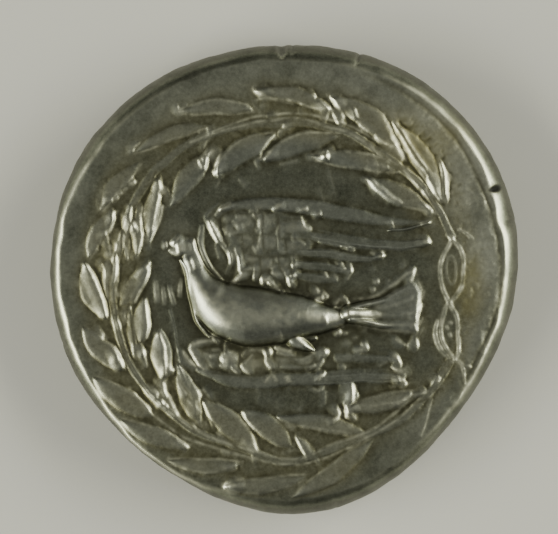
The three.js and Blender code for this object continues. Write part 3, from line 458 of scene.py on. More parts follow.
# tie of the wreath on the right: two crossing cords, beads between them, a loose ribbon end
for path, half, high in (
    ([[8.45, 2.1], [8.25, 1.65], [8, 1.2], [7.85, 0.7], [7.85, 0.2], [7.95, -0.4], [8.15, -0.9], [8.45, -1.45], [8.7, -1.95], [8.8, -2.55], [8.8, -3.25], [8.7, -3.7], [8.45, -4.05]], [0.09, 0.11, 0.11, 0.1, 0.1, 0.11, 0.13, 0.1, 0.1, 0.11, 0.1, 0.09], .34),
    ([[8.15, 2.2], [8.5, 1.95], [8.85, 1.55], [9.05, 0.9], [9, 0.05], [8.8, -0.45], [8.45, -0.95], [8.15, -1.3], [8.05, -1.7], [7.95, -2.1], [7.9, -2.6], [8, -3.05], [8.3, -3.55], [8.6, -4]], [0.09, 0.1, 0.11, 0.1, 0.1, 0.12, 0.13, 0.1, 0.11, 0.11, 0.11, 0.1, 0.09], .34),
    ([[7.75, -2], [7.6, -2.55], [7.7, -3.05], [7.95, -3.5], [8.25, -3.85]], [0.09, 0.13, 0.14, 0.13, 0.09], .36),
    ([[8.25, 1.15], [8.15, 0.6], [8.25, 0], [8.45, -0.2], [8.65, 0.2], [8.65, 0.8], [8.45, 1.25], [8.25, 1.15]], 0.06, .18),
    ([[8.6, -3.95], [8.85, -4.1], [9, -4.5], [9.05, -5.15]], [0.1, 0.1, 0.09, 0.07], .26), ([[9, -4.2], [9.35, -4.35]], 0.07, .18),
    ([[8.35, -2.1], [8.4, -2.15]], 0.1, .30), ([[8.2, -2.3], [8.25, -2.4]], 0.09, .28), ([[8.35, -2.65], [8.4, -2.75]], 0.1, .28),
    ([[8.8, 2.5], [9.15, 2.35], [9.45, 2.1]], 0.1, .16),
):
    h_ = np.atleast_1d(np.array(half)) * 1.15
    add(path, h_, 0.33 * h_, "soft")
    # painted highlight along each cord, bead and ribbon end
    highlight_and_clean(path, h_ * 1.05, min(1.0, high / 0.34))

# dove
over([[-4.65, 1.4], [-4.5, 0.7], [-4.175, -0.05], [-3.7, -0.8], [-3.1, -1.35], [-2.25, -1.7], [-1.25, -1.85], [-0.25, -1.9], [0.7, -1.85], [1.7, -1.875], [2.85, -1.9]], [0.375, 0.49, 0.75, 1.125, 1.4, 1.5, 1.45, 1.3, 1.05, 0.725, 0.425], [.12, .20, .50, .80, .90, .92, .90, .84, .76, .60, .34], "body", k=0.03)
# painted highlights along the rump, down the breast and over the back
highlight_and_clean([[0.7, -1.75], [1.75, -1.8], [2.75, -1.85]], [0.3, 0.4, 0.3], .85)
highlight_and_clean([[-4.35, -0.05], [-3.75, -1], [-2.9, -2.1]], [0.25, 0.4, 0.4], .95)
highlight_and_clean([[-3.55, -1], [-2.15, -1.6], [0.35, -1.75]], [0.9, 1, 0.8], .50)
# painted shade under the belly and along the top of the back
paint_shade([[-3.5, -2.95], [-2.65, -3.2], [-1.55, -3.3], [-0.55, -3.1], [0.15, -2.85]], [0.25, 0.375, 0.4, 0.3, 0.15], .55)
paint_shade([[-3.65, 0], [-2.85, -0.35], [-1.65, -0.7], [-0.15, -1]], [0.2, 0.3, 0.3, 0.15], .38)
over([[-5.05, 1.725], [-4.75, 1.6]], [0.6, 0.525], [.065, .13], "flat", k=0.03)
# eye: short arcs round a hollow, each with a painted highlight, and the stub of the beak
for path, half, side in (([[-5.42, 1.88], [-5.31, 2.08]], [0.13, 0.15], 1.0), ([[-5.58, 1.87], [-5.5, 1.98]], [0.08, 0.1], 1.0), ([[-5.2, 1.825], [-5.17, 1.525]], [0.13, 0.15], 1.0), ([[-5.625, 1.475], [-5.45, 1.385], [-5.225, 1.3]], [0.09, 0.115, 0.1], 1.0), ([[-5.86, 1.83], [-5.85, 1.7]], [0.11, 0.11], -1.0)):
    w = np.array(half, float) * 1.15
    win, mm = stroke_map(path, w, 0.56 * w, "tent", 0.0, side, 1.2)
    H[win] += mm
    highlight_and_clean(path, w * 1.05, 0.95)
# painted highlight on the crown of the head
highlight_and_clean([[-4.95, 1.7], [-4.7, 1.6]], [0.45, 0.4], .20)
add([[-5.525, 1.725], [-5.425, 1.675]], 0.13, -.045)
# painted shade in the eye hollow
paint_shade([[-5.55, 1.725], [-5.425, 1.675]], 0.12, 0.55)
# edge of the breast: a thin raised line with a groove inside it, the groove darkened with painted shade
over([[-5.1, 1], [-4.85, 0.5], [-4.7, -0.25], [-4.5, -1.2], [-4.25, -2.05], [-3.9, -2.6], [-3.65, -2.85]], [0.07, 0.095, 0.105, 0.11, 0.11, 0.1, 0.075], [.08, .17, .24, .24, .22, .18, .10], "soft")
ridge([[-4.6, 0.85], [-4.525, 0.55]], 0.16, .42)
paint_shade([[-4.65, 0.35], [-4.55, -0.2], [-4.4, -0.85], [-4.175, -1.6], [-3.85, -2.25]], [0.09, 0.13, 0.13, 0.115, 0.09], .70)
ridge([[-3.55, -2.85], [-3.35, -3.05]], 0.12, .30)
# far shoulder behind the neck
over([[-4.05, 2.7], [-4.05, 2.25], [-4.025, 1.65], [-3.875, 1.1], [-3.575, 0.55], [-3.05, -0.05]], [0.18, 0.22, 0.19, 0.16, 0.13, 0.075], [.055,.06,.045,.04,.03], "soft")
# painted highlight at the top of the far shoulder
highlight_and_clean([[-4.05, 2.65], [-4.1, 2.2]], 0.17, .30)
ridge([[-4.425, 2], [-4.35, 1.6], [-4.175, 1.15], [-4, 0.7]], [0.095, 0.1, 0.07, 0.05], .36)
ridge([[-4.1, 2.1], [-4, 1.6], [-3.8, 1.05], [-3.4, 0.45], [-3, -0.05]], [0.075, 0.095, 0.095, 0.075, 0.05], .17)
ridge([[-3.2, 2], [-3.3, 1.65], [-3.2, 1.15]], [0.09, 0.075, 0.09], .26)
# thigh and foot
over([[0.15, -2.7], [0.5, -3], [0.95, -3.25], [1.45, -3.5]], [0.275, 0.4, 0.275, 0.1], [.30, .36, .34, .16], "body", k=0.02)
ridge([[0.7, -2.9], [1, -3.2], [1.35, -3.45]], [0.1, 0.14, 0.08], .44)
over([[0.85, -2.9], [1.25, -2.95], [1.6, -2.9]], [0.15, 0.2, 0.125], .12, "soft")
# tail: a fan that drops behind the rump, faint quills, a knot of pellets before it, a plaited end
fill([[3.25, -1.25], [4.45, -0.95], [5.6, -0.4], [6.45, 0.05], [6.9, -0.55], [6.925, -1.3], [6.85, -2.1], [6.7, -2.7], [5.65, -2.65], [4.35, -2.35], [3.3, -2.15]], .10, 0.3)
over([[3.2, -1.65], [3.65, -1.675], [4.25, -1.7], [4.9, -1.65]], [0.4, 0.375, 0.325, 0.2], [.60, .46, .25, .09], "body", k=0.03)
over([[3.35, -1.95], [3.9, -2.05], [4.55, -2.175], [5.45, -2.3]], [0.21, 0.22, 0.2, 0.125], [.46, .40, .24, .11], "body", k=0.03)
over([[3.35, -1.4], [3.95, -1.25], [4.65, -1.1], [5.45, -0.95]], [0.175, 0.2, 0.2, 0.15], [.36, .30, .20, .11], "body", k=0.03)
# painted highlights along the three ridges at the tail's base
highlight_and_clean([[3.35, -1.65], [3.95, -1.675], [4.75, -1.7]], [0.3, 0.325, 0.25], 1.0)
highlight_and_clean([[3.75, -2.025], [4.25, -2.125], [4.85, -2.225]], [0.2, 0.2, 0.15], .75)
highlight_and_clean([[3.35, -1.4], [4.05, -1.25], [4.85, -1.15]], [0.2, 0.2, 0.15], .35)
for path, half, high in (
    ([[3.45, -1], [4.6, -0.75], [5.45, -0.3], [6, 0.15], [6.5, 0.45]], [0.08, 0.09, 0.1, 0.1, 0.08], .22), ([[3.95, -1.15], [5.1, -0.9], [6.05, -0.4]], 0.085, .13), ([[4.15, -1.45], [5.25, -1.3], [6.45, -0.9]], 0.095, .14), ([[4.75, -1.65], [5.65, -1.7], [6.55, -1.6]], 0.095, .13),
    ([[4.05, -2.05], [5.15, -2.2], [6.55, -2.25]], 0.1, .20), ([[3.65, -2.2], [5.05, -2.5], [6.35, -2.6]], 0.09, .18),
    ([[6.6, 0.5], [6.5, 0.25], [6.35, 0]], [0.09, 0.12, 0.1], .36), ([[6.75, -0.1], [6.9, -0.45]], [0.06, 0.09], .20), ([[6.95, -0.6], [6.9, -0.85], [6.75, -1.1]], [0.11, 0.13, 0.1], .36), ([[6.95, -1.25], [6.85, -1.5], [6.75, -1.75]], [0.1, 0.145, 0.11], .46),
    ([[6.75, -1.9], [6.7, -2.2]], [0.09, 0.08], .24), ([[7, -1.9], [6.85, -2.15]], [0.07, 0.09], .18), ([[6.7, -2.4], [6.65, -2.7]], [0.08, 0.07], .20), ([[7, -2.4], [6.85, -2.65]], [0.06, 0.08], .15), ([[6.7, -3], [6.75, -3.25]], [0.09, 0.13], .36),
    ([[2.45, -1.4], [2.6, -1.35]], 0.1, .30), ([[2.65, -1.15], [2.8, -1]], 0.1, .26), ([[3.05, -0.9], [3.2, -1.1], [3.25, -1.3]], [0.1, 0.12, 0.09], .34), ([[2.15, -1.65], [2.25, -1.45]], 0.1, .30), ([[2.2, -1.9], [2.25, -2.15]], 0.09, .28),
    ([[2.55, -1.8], [2.7, -1.8]], 0.12, .34), ([[2.5, -2.2], [2.65, -2.25]], 0.11, .32), ([[2.9, -2.2], [3, -2.25]], 0.11, .38), ([[3.2, -1.5], [3.2, -1.95]], 0.09, .36), ([[2.8, -1.4], [2.95, -1.45]], 0.09, .28), ([[2.9, -1.9], [3, -1.8]], 0.09, .26),
    ([[5.7, -3], [5.95, -3.15], [6.15, -3.25]], [0.1, 0.11, 0.08], .26), ([[6.45, -3.05], [6.25, -3.25]], 0.08, .20),
):
    ridge(path, half, high)

# upper wing: panel, leading band, front ridges
fill([[-3.1, 3.35], [-1.65, 3.75], [0.85, 3.45], [1.45, 2.7], [1.55, 1.5], [0.95, 0.9], [1, 0.2], [0.35, -0.25], [-1.05, -0.2], [-2.15, -0.2], [-2.6, 0.2], [-2.6, 1.2], [-3.05, 2.2]], PLATE, 0.45)
fill([[-4.15, -3.6], [-3.45, -3.3], [-2.15, -3.3], [-1.05, -3.35], [0.35, -3.45], [1.6, -3.6], [2.35, -3.6], [2.15, -4.1], [1.75, -4.55], [0.35, -4.75], [-1.05, -4.85], [-2.4, -4.85], [-3.55, -4.6], [-4.05, -4.1]], PLATE, 0.4)
WING = H.copy()
over([[-3.05, 3.5], [-2.15, 3.75], [-1.05, 3.8], [0.35, 3.75], [1.85, 3.55], [3.35, 3.25], [4.85, 3], [6.1, 2.9], [7.25, 2.85]], [0.15, 0.3, 0.36, 0.38, 0.4, 0.38, 0.3, 0.2, 0.1], np.array([.34, .40, .42, .42, .40, .38, .34, .30, .22]) * BAND_K, "leaf")
over([[-3.25, 3.8], [-3.6, 3.5], [-3.85, 3.2], [-3.7, 2.85], [-3.45, 2.45], [-3.2, 2.05], [-2.85, 1.6], [-2.65, 1.15], [-2.65, 0.75], [-2.75, 0.5], [-2.85, 0.3]], [0.1, 0.12, 0.15, 0.18, 0.21, 0.19, 0.17, 0.15, 0.14, 0.13, 0.09], [.03, .035, .045, .055, .06, .055, .05, .05, .045, .04, .03], "soft")
ridge([[-3.7, 2.95], [-3.55, 2.6], [-3.3, 2.1]], [0.11, 0.14, 0.11], .40)
ridge([[-2.7, 1.55], [-2.65, 1.25], [-2.65, 0.85]], [0.09, 0.12, 0.09], .34)
# painted highlight down the front edge of the wing
highlight_and_clean([[-3.6, 2.9], [-3.3, 2.4], [-2.95, 1.8], [-2.7, 1.2], [-2.65, 0.7]], [0.15, 0.17, 0.15, 0.13, 0.11], .45)
ridge([[-3.35, 3.25], [-3.05, 3.6], [-2.65, 3.8]], [0.09, 0.13, 0.1], .40)
ridge([[-2.35, 1.5], [-2.2, 0.9], [-2.15, 0.45]], [0.09, 0.11, 0.1], .44)
ridge([[-1.9, 0.45], [-2.15, 0.15], [-2.4, -0.05], [-2.8, -0.35]], [0.12, 0.13, 0.12, 0.06], .50)
# flight feathers, each a flat vane with fine raised barbs
FEATHERS = [
    ([[1.4, 2.2], [2.85, 1.95], [4.35, 1.75], [5.85, 1.7], [7.3, 1.9]], [0.25, 0.35, 0.28, 0.25, 0.15], .28), ([[0.75, 1.4], [2.35, 1.3], [3.35, 1.15], [4.25, 1.05], [5.1, 1.2]], [0.2, 0.27, 0.27, 0.2, 0.1], .28),
    ([[0.45, 0.75], [1.6, 0.7], [2.85, 0.55], [3.4, 0.5]], [0.18, 0.22, 0.21, 0.17], .24), ([[0.55, 0.25], [1.6, 0.1], [2.65, -0.05]], [0.18, 0.22, 0.15], .18),
    ([[2.75, -3.9], [3.95, -3.9], [5.1, -3.9], [5.75, -4]], [0.25, 0.25, 0.2, 0.15], .24), ([[1.75, -4.95], [3.35, -4.85], [4.85, -4.8], [5.95, -4.8]], [0.35, 0.35, 0.32, 0.25], .28),
]
for path, half, high in FEATHERS:
    over(path, half, np.array(high) * BAND_K, "leaf")
for path, high in (
    ([[1.75, 2.5], [3.1, 2.25], [4.45, 2], [5.85, 1.9], [7.2, 2.05]], .05), ([[1.45, 2.2], [2.85, 1.95], [4.15, 1.7], [5.6, 1.6], [7.05, 1.7]], .055), ([[1.75, 1.95], [3.05, 1.7], [3.35, 1.6]], .05), ([[3.1, 1.85], [4.45, 1.65], [5.85, 1.5], [6.95, 1.55]], .035),
    ([[0.85, 1.45], [2.35, 1.4], [3.45, 1.2], [4.75, 1.1]], .05), ([[1.05, 1.2], [2.35, 1.15], [3.45, 1], [4.45, 0.95]], .035), ([[0.55, 0.85], [1.85, 0.8], [3.15, 0.6]], .045), ([[0.65, 0.6], [1.95, 0.5], [3.15, 0.4]], .04),
    ([[0.75, 0.3], [1.75, 0.2], [2.55, 0.05]], .04), ([[0.85, 0.05], [1.75, -0.1], [2.45, -0.15]], .04), ([[5.25, 2.45], [6.1, 2.55], [6.75, 2.7], [7.25, 2.85]], .16),
    ([[1.95, -4.6], [3.35, -4.5], [4.85, -4.45], [5.75, -4.55]], .05), ([[1.95, -4.85], [3.35, -4.75], [4.85, -4.7], [5.85, -4.75]], .04), ([[0.85, -5.2], [2.35, -5.2], [3.85, -5.1], [5.95, -5.05]], .06), ([[1.95, -5], [3.35, -4.95], [4.85, -4.9], [5.75, -4.9]], .03),
    ([[2.85, -3.8], [3.95, -3.8], [5.25, -3.8]], .03), ([[0.85, 3.35], [2.35, 3.15], [3.35, 2.95]], .03), ([[1.35, 3.85], [2.85, 3.65], [4.35, 3.3]], .025),
):
    add(path, 0.085, high * 0.72, "soft", point=0.35)
# coverts: rows of small flat scales between deep lines
for x, y, w, h, high in (
    (-1.9, 2.9, 0.65, 0.65, 0.12),
    (-0.7, 2.95, 0.75, 0.85, 0.14),
    (-0.65, 1.9, 0.7, 0.75, 0.14),
    (0.45, 2.6, 0.85, 0.6, 0.13),
    (0.55, 1.7, 0.75, 0.55, 0.12),
    (-1.8, 1.95, 0.75, 0.6, 0.1),
    (-1.6, 1.15, 0.8, 0.5, 0.1),
    (-0.8, 0.85, 0.65, 0.65, 0.12),
    (0.1, 0.85, 0.55, 0.45, 0.1),
    (-2.7, 2.4, 0.45, 0.45, 0.08),
    (-2.85, 3, 0.45, 0.45, 0.1),
    (-2.4, 1.2, 0.35, 0.5, 0.08),
    (-1.45, 3.65, 0.8, 0.3, 0.05),
    (-3.9, -3.8, 0.6, 0.6, 0.06),
    (-2.55, -3.8, 0.7, 0.6, 0.07),
    (-1.4, -4.15, 0.75, 0.5, 0.07),
    (0.05, -4.05, 0.8, 0.4, 0.07),
    (1.1, -4.1, 0.6, 0.4, 0.06),
    (-3.65, -4.3, 0.6, 0.35, 0.08),
):
    r = np.random.default_rng(int(1000 + x * 40 + y * 7))
    a = r.uniform(-0.12, 0.12)
    ca, sa = math.cos(a), math.sin(a)
    box = [[x + ca * u * w / 2 - sa * v * h / 2, y + sa * u * w / 2 + ca * v * h / 2] for u, v in ((-.75, -1), (.75, -1), (1, -.7), (1, .7), (.75, 1), (-.75, 1), (-1, .7), (-1, -.7))]
    fill(box, high * 0.20, 0.2, WING)
    # a faint painted highlight, partly clean metal, over the middle of each scale
    HIGHLIGHT_AND_CLEAN[:] = np.maximum(HIGHLIGHT_AND_CLEAN, 0.30 * np.exp(-(((GX - x) / (w * 0.50)) ** 2 + ((GY - y) / (h * 0.48)) ** 2) ** 3))
for path, wide in (
    ([[-1.65, 1.25], [-1.05, 1.2], [-0.4, 1.2], [0.85, 1.15]], 1.6), ([[-2.35, 2.15], [-1.8, 2.25], [-1.3, 2.2]], 1.3), ([[-0.2, 2.1], [0.35, 2.05], [1.1, 2]], 1.4), ([[0.05, 2.95], [0.85, 3.05], [1.45, 2.9]], 1.5), ([[-2.15, 0.45], [-1.35, 0.4], [-1.05, 0.2]], 1.4),
    ([[-1.35, 3.35], [-1.35, 2.9], [-1.45, 2.4]], 1.4), ([[-0.95, 3.3], [-1, 2.4], [-0.95, 1.5]], 1.4), ([[-0.25, 3.3], [-0.25, 2.8], [-0.2, 2.2]], 1.5), ([[0.15, 2], [0.2, 1.6], [0.2, 1.25]], 1.3), ([[-2, 2], [-1.95, 1.5], [-1.95, 0.9]], 1.2), ([[-1.15, 1.1], [-1.1, 0.7], [-1.1, 0.3]], 1.2),
    ([[-0.2, 1.1], [-0.15, 0.7], [0, 0.4]], 1.2), ([[-2.5, 3.4], [-1.95, 3.3], [-1.45, 3.35], [-0.75, 3.4]], 1.4), ([[-2.95, 3.3], [-3.05, 2.9], [-2.85, 2.4]], 1.4), ([[0.7, 1.1], [0.45, 0.6], [0.45, 0.2]], 1.2),
    ([[-3.95, -3.6], [-3.45, -3.65], [-2.85, -3.6]], 1.3), ([[-2.35, -3.45], [-1.95, -3.8], [-2.15, -4.2]], 1.4), ([[-1.05, -3.8], [-0.15, -3.9], [0.85, -3.8]], 1.3), ([[-1.05, -4.55], [0.1, -4.55], [1.25, -4.45]], 1.4), ([[-3.55, -4.7], [-2.35, -4.75], [-1.05, -4.75]], 1.3), ([[0.35, -4.1], [1.05, -4.25], [1.75, -4.1]], 1.3),
):
    # the lines between the scales, cut in and darkened with painted shade
    add(path, wide * 0.055, -0.035, "soft")
    paint_shade(path, wide * 0.085, 0.80)
for path, half, high in (
    ([[-2.35, 3.15], [-2.15, 3.15]], 0.12, .26), ([[-2.5, 2.85], [-2.3, 2.65]], 0.14, .24), ([[-2.1, 2.7], [-2, 2.6]], 0.1, .18), ([[-2.95, 2.5], [-2.65, 2.65]], 0.09, .20), ([[-2.6, 2.25], [-2.15, 2.35]], 0.11, .24),
    ([[-1.65, 3.45], [-1.5, 3.5]], 0.09, .30), ([[-1.45, 3.3], [-1.25, 3.25]], 0.12, .30), ([[-1.15, 2.9], [-1.15, 2.7]], 0.17, .34), ([[-1.35, 2.55], [-1.3, 2.5]], 0.11, .24), ([[-1.1, 2.35], [-1.15, 2], [-1.2, 1.7]], [0.09, 0.12, 0.15], .32),
    ([[-1.45, 1.65], [-1.35, 1.5]], 0.12, .26), ([[-0.5, 3.55], [-0.3, 3.65], [-0.15, 3.8]], [0.1, 0.15, 0.1], .36), ([[-0.2, 2.7], [-0.3, 2.35]], 0.12, .26), ([[-0.25, 2.1], [-0.15, 1.5], [0.25, 1.4]], [0.08, 0.12, 0.08], .28), ([[0.95, 3.1], [1.1, 2.6], [1.4, 2.55]], [0.09, 0.14, 0.11], .32),
    ([[0.45, 2.15], [0.55, 2.05]], 0.12, .24), ([[0.7, 2], [1.05, 1.8]], 0.1, .28), ([[-2.2, 1.1], [-2.2, 0.55]], 0.09, .26), ([[-1.85, 0.55], [-1.35, 0.6]], 0.07, .22), ([[-1.4, 0.6], [-1.45, 0.05]], [0.11, 0.1], .30),
    ([[-0.3, 1.05], [-0.25, 1]], 0.09, .22), ([[-0.1, 1.05], [0.05, 1]], 0.1, .24), ([[0.5, 1.1], [0.5, 0.95]], 0.09, .22), ([[0.5, 0.7], [0.6, 0.7]], 0.115, .30), ([[0.45, 0.25], [0.6, 0.25]], 0.115, .30),
    ([[-0.5, 0.35], [-0.25, 0.25]], 0.11, .32), ([[-0.55, 0.6], [-0.2, 0.7], [0.05, 0.45]], 0.075, .24), ([[-1, 0.1], [-1, -0.15]], 0.12, .34), ([[-0.8, 0], [-0.55, -0.2], [-0.25, -0.4], [0, -0.55]], [0.13, 0.14, 0.1, 0.11], .40), ([[0.15, 0.35], [0.3, 0.05]], 0.09, .32), ([[0.3, 0], [0.35, -0.15]], 0.14, .42),
    ([[1, 3.55], [1.2, 3.55]], 0.11, .44), ([[1.8, 3.3], [1.9, 3.3]], 0.13, .44), ([[4.85, 1.15], [5, 1.15]], 0.11, .36), ([[5, 1.4], [5.05, 1.15]], 0.08, .30), ([[3.4, 0.8], [3.45, 0.5], [3.25, 0.1]], [0.08, 0.1, 0.06], .34), ([[3, 0.85], [3.15, 0.6]], 0.09, .28),
    ([[2.9, 1.7], [3.2, 1.65]], 0.08, .34), ([[3.4, 1.55], [3.55, 1.55]], 0.09, .32), ([[4.4, 1.35], [4.6, 1.3]], 0.08, .24), ([[7.1, 1.95], [7.3, 2]], 0.13, .36), ([[6.9, 2.8], [7.2, 2.9]], 0.1, .30), ([[5.45, 2.85], [5.55, 2.65]], 0.07, .32),
    ([[2.15, 0.3], [2.25, 0.15]], 0.12, .24), ([[2.65, 0.2], [2.75, 0.1]], 0.1, .20), ([[2.65, 0.9], [2.75, 0.8]], 0.08, .18), ([[1.7, -0.5], [1.75, -0.55]], 0.13, .32), ([[1.7, -0.95], [1.95, -0.9]], 0.15, .42), ([[2.05, -0.65], [2.2, -0.8]], 0.12, .30), ([[0.7, -0.6], [0.85, -0.65]], 0.1, .10), ([[1.2, -0.65], [1.25, -0.7]], 0.08, .12),
    # lower wing
    ([[-4.95, -3.65], [-4.75, -4.05], [-4.35, -4.4]], [0.11, 0.14, 0.1], .30), ([[-3.45, -3.05], [-4.15, -3.15], [-4.6, -3.4], [-4.45, -3.85], [-4.2, -4.25], [-3.95, -4.5]], [0.08, 0.11, 0.13, 0.135, 0.13, 0.09], [.18, .26, .40, .44, .40, .30]),
    ([[-2.05, -3.75], [-1.8, -3.5], [-1.35, -3.45], [-1, -3.55], [-0.85, -3.85], [-0.85, -4.1], [-0.65, -4.4]], [0.08, 0.11, 0.1, 0.1, 0.11, 0.12, 0.12], .34), ([[-0.35, -3.45], [0, -3.55], [0.35, -3.55]], [0.1, 0.13, 0.09], .38), ([[-0.25, -3.7], [0.35, -3.8], [0.95, -3.95], [1.55, -3.65]], 0.085, .28), ([[-0.1, -4.4], [0.65, -4.35]], 0.075, .25), ([[1.35, -4.4], [1.55, -4.3]], 0.1, .26),
    ([[1.7, -4.45], [2, -4.05]], 0.08, .24), ([[-3.05, -3.9], [-2.9, -4]], 0.21, .48), ([[-2.9, -3.2], [-2.9, -3.65]], 0.08, .28), ([[-3.55, -3.5], [-3.25, -3.5]], 0.07, .22), ([[-3.65, -3.8], [-3.5, -3.8]], 0.11, .26), ([[-3.15, -4.3], [-2.9, -4.35]], 0.075, .28), ([[-2.6, -4.4], [-2.35, -4.65]], 0.09, .32),
    ([[-2.1, -4.3], [-1.9, -4.45], [-1.7, -4.65]], [0.11, 0.15, 0.1], .46), ([[-2, -4.15], [-1.75, -4], [-1.55, -3.75]], 0.08, .28), ([[-0.6, -3.55], [-0.55, -3.65]], 0.125, .38), ([[-0.85, -5.05], [-0.7, -4.8], [-0.5, -4.8], [-0.35, -5.05]], 0.08, .46), ([[0.2, -4.9], [0.25, -5.15]], 0.11, .46), ([[1.75, -4.95], [1.85, -4.8], [2.05, -4.65]], [0.11, 0.15, 0.1], .46),
    ([[1.9, -3.55], [2.25, -3.6]], 0.15, .42), ([[2, -3.75], [2.15, -3.65]], 0.13, .38), ([[3, -4.3], [3.1, -4.35]], 0.1, .26), ([[4.9, -4.2], [5.2, -4.05]], 0.07, .30), ([[5.55, -3.75], [5.85, -3.95], [5.95, -4.2]], [0.09, 0.12, 0.11], .34), ([[5.4, -4.3], [5.65, -4.45], [5.95, -4.5]], [0.07, 0.09, 0.13], .38), ([[5.8, -4.9], [5.9, -5]], 0.09, .30), ([[5.95, -5], [6.2, -5.15]], 0.11, .34), ([[5.55, -5.3], [5.7, -5.3]], 0.08, .16),
    ([[-0.1, -2.75], [0, -3.05]], 0.1, .36),
):
    ridge(path, half, high)
LOW_BAND = [[-4.25, -4.5], [-3.3, -4.85], [-2.15, -5.05], [-1.05, -5.05], [0.35, -5], [1.75, -4.95]]
over(LOW_BAND, [0.17, 0.3, 0.37, 0.38, 0.37, 0.34], np.array([.28, .34, .36, .36, .36, .32]) * BAND_K, "leaf")
for x, y, r, high in (
    (-1.05, 0, 0.115, 0.3),
    (-0.65, -0.15, 0.11, 0.34),
    (0, -0.55, 0.11, 0.32),
    (0.325, -0.05, 0.12, 0.36),
    (0.5, 0.25, 0.1, 0.26),
    (0.5, 0.7, 0.1, 0.26),
    (2.85, -2.6, 0.15, 0.36),
    (3.15, -2.65, 0.095, 0.24),
    (3.8, -3.5, 0.17, 0.34),
    (4.1, -3.4, 0.15, 0.34),
    (3.9, -3.2, 0.12, 0.3),
    (3.25, -3.15, 0.17, 0.1),
    (4.05, -2.5, 0.13, 0.13),
    (4.7, -0.1, 0.125, 0.24),
    (4.5, -0.45, 0.11, 0.24),
    (5.3, -0.05, 0.095, 0.15),
    (3.6, -2.85, 0.095, 0.13),
    (6.05, 0.7, 0.11, 0.13),
    (4.55, 0.55, 0.15, 0.07),
    (0.2, -5.5, 0.085, 0.13),
    (-1.25, -5.45, 0.15, 0.06),
):
    knob(x, y, r, high)
# shallow strokes in the left field, in the place of a mark, with painted highlights along them
for path, half, high in (
    ([[-6.4, -0.1], [-6.25, -1.05]], [0.16, 0.19], .14), ([[-6, -0.4], [-5.925, -1.15]], [0.12, 0.14], .10), ([[-5.675, -0.3], [-5.45, -1.2]], [0.13, 0.15], .13), ([[-5.1, 0], [-5.15, -0.8]], [0.12, 0.14], .12),
):
    over(path, half, [high * 0.24, high * 0.38, high * 0.34, high * 0.22], "soft", k=0.02)
    highlight_and_clean(path, half, [0.38, 0.62, 0.50, 0.34])
# a faint line left by a crack in the die
add([[-5.65, -1.5], [-5.4, -2.4], [-5.25, -3.4], [-5.1, -4.1]], 0.08, .030)
add([[-5.6, -1.6], [-5.55, -2.5]], 0.12, .015)

rel = H - FIELD
wx, wy = 0.026 * noise(0.75, 61), 0.026 * noise(0.75, 63)


def warped(a):
    """The grid as seen through the small wander of a hand-cut, worn die."""
    jf, i_f = (GX + wx + SPAN) / GRID, (GY + wy + SPAN) / GRID
    j, i = np.clip(jf.astype(int), 0, n_grid - 2), np.clip(i_f.astype(int), 0, n_grid - 2)
    u, v = np.clip(jf - j, 0, 1), np.clip(i_f - i, 0, 1)
    return (a[i, j] * (1 - u) + a[i, j + 1] * u) * (1 - v) + (a[i + 1, j] * (1 - u) + a[i + 1, j + 1] * u) * v


rel = warped(rel)
rough_ground = np.clip(blur(np.clip(rel / 0.05, 0, 1), 0.30) + 0.7 * smooth((R - 8.6) / 0.6) * smooth((11.3 - R) / 0.5) * right, 0, 1)
rel = rel + rough_ground * ((0.0022 + 0.0068 * np.exp(-(rel / 0.05) ** 2)) * noise(0.17, 71) + (0.0010 + 0.0042 * np.exp(-(rel / 0.05) ** 2)) * noise(0.09, 72)) * np.exp(-(rel / 0.35) ** 4)
HIGHLIGHT_AND_CLEAN = warped(HIGHLIGHT_AND_CLEAN) * np.clip(0.80 + 0.38 * noise(0.16, 65), 0, 1.25)
rel = rel + np.clip(blur(HIGHLIGHT_AND_CLEAN, 0.05), 0, 0.9) * (0.0085 * noise(0.16, 77) + 0.0040 * noise(0.10, 78)) * np.exp(-(rel / 0.30) ** 4)
rel = rel * (1 + 0.10 * np.tanh(noise(0.60, 66)) * np.exp(-(rel / 0.22) ** 2)) + 0.0010 * noise(0.12, 67) + 0.0030 * noise(0.50, 68)
H = FIELD + 0.78 * blur(rel, 0.028) + 0.22 * blur(rel, 0.12)
PAINTED_SHADE = warped(PAINTED_SHADE)
HIGHLIGHT_AND_CLEAN = HIGHLIGHT_AND_CLEAN * (1 - 0.90 * PAINTED_SHADE)
SOFT = blur(H, 0.11)
CAV = H - blur(H, 0.16)
CAV2 = H - blur(H, 0.55)
RELIEF = H - FIELD


def sample(a, x, y):
    """Bilinear value of a grid at points in mm."""
    fx, fy = (x + SPAN) / GRID, (y + SPAN) / GRID
    j, i = np.clip(fx.astype(int), 0, n_grid - 2), np.clip(fy.astype(int), 0, n_grid - 2)
    u, v = fx - j, fy - i
    return (a[i, j] * (1 - u) + a[i, j + 1] * u) * (1 - v) + (a[i + 1, j] * (1 - u) + a[i + 1, j + 1] * u) * v


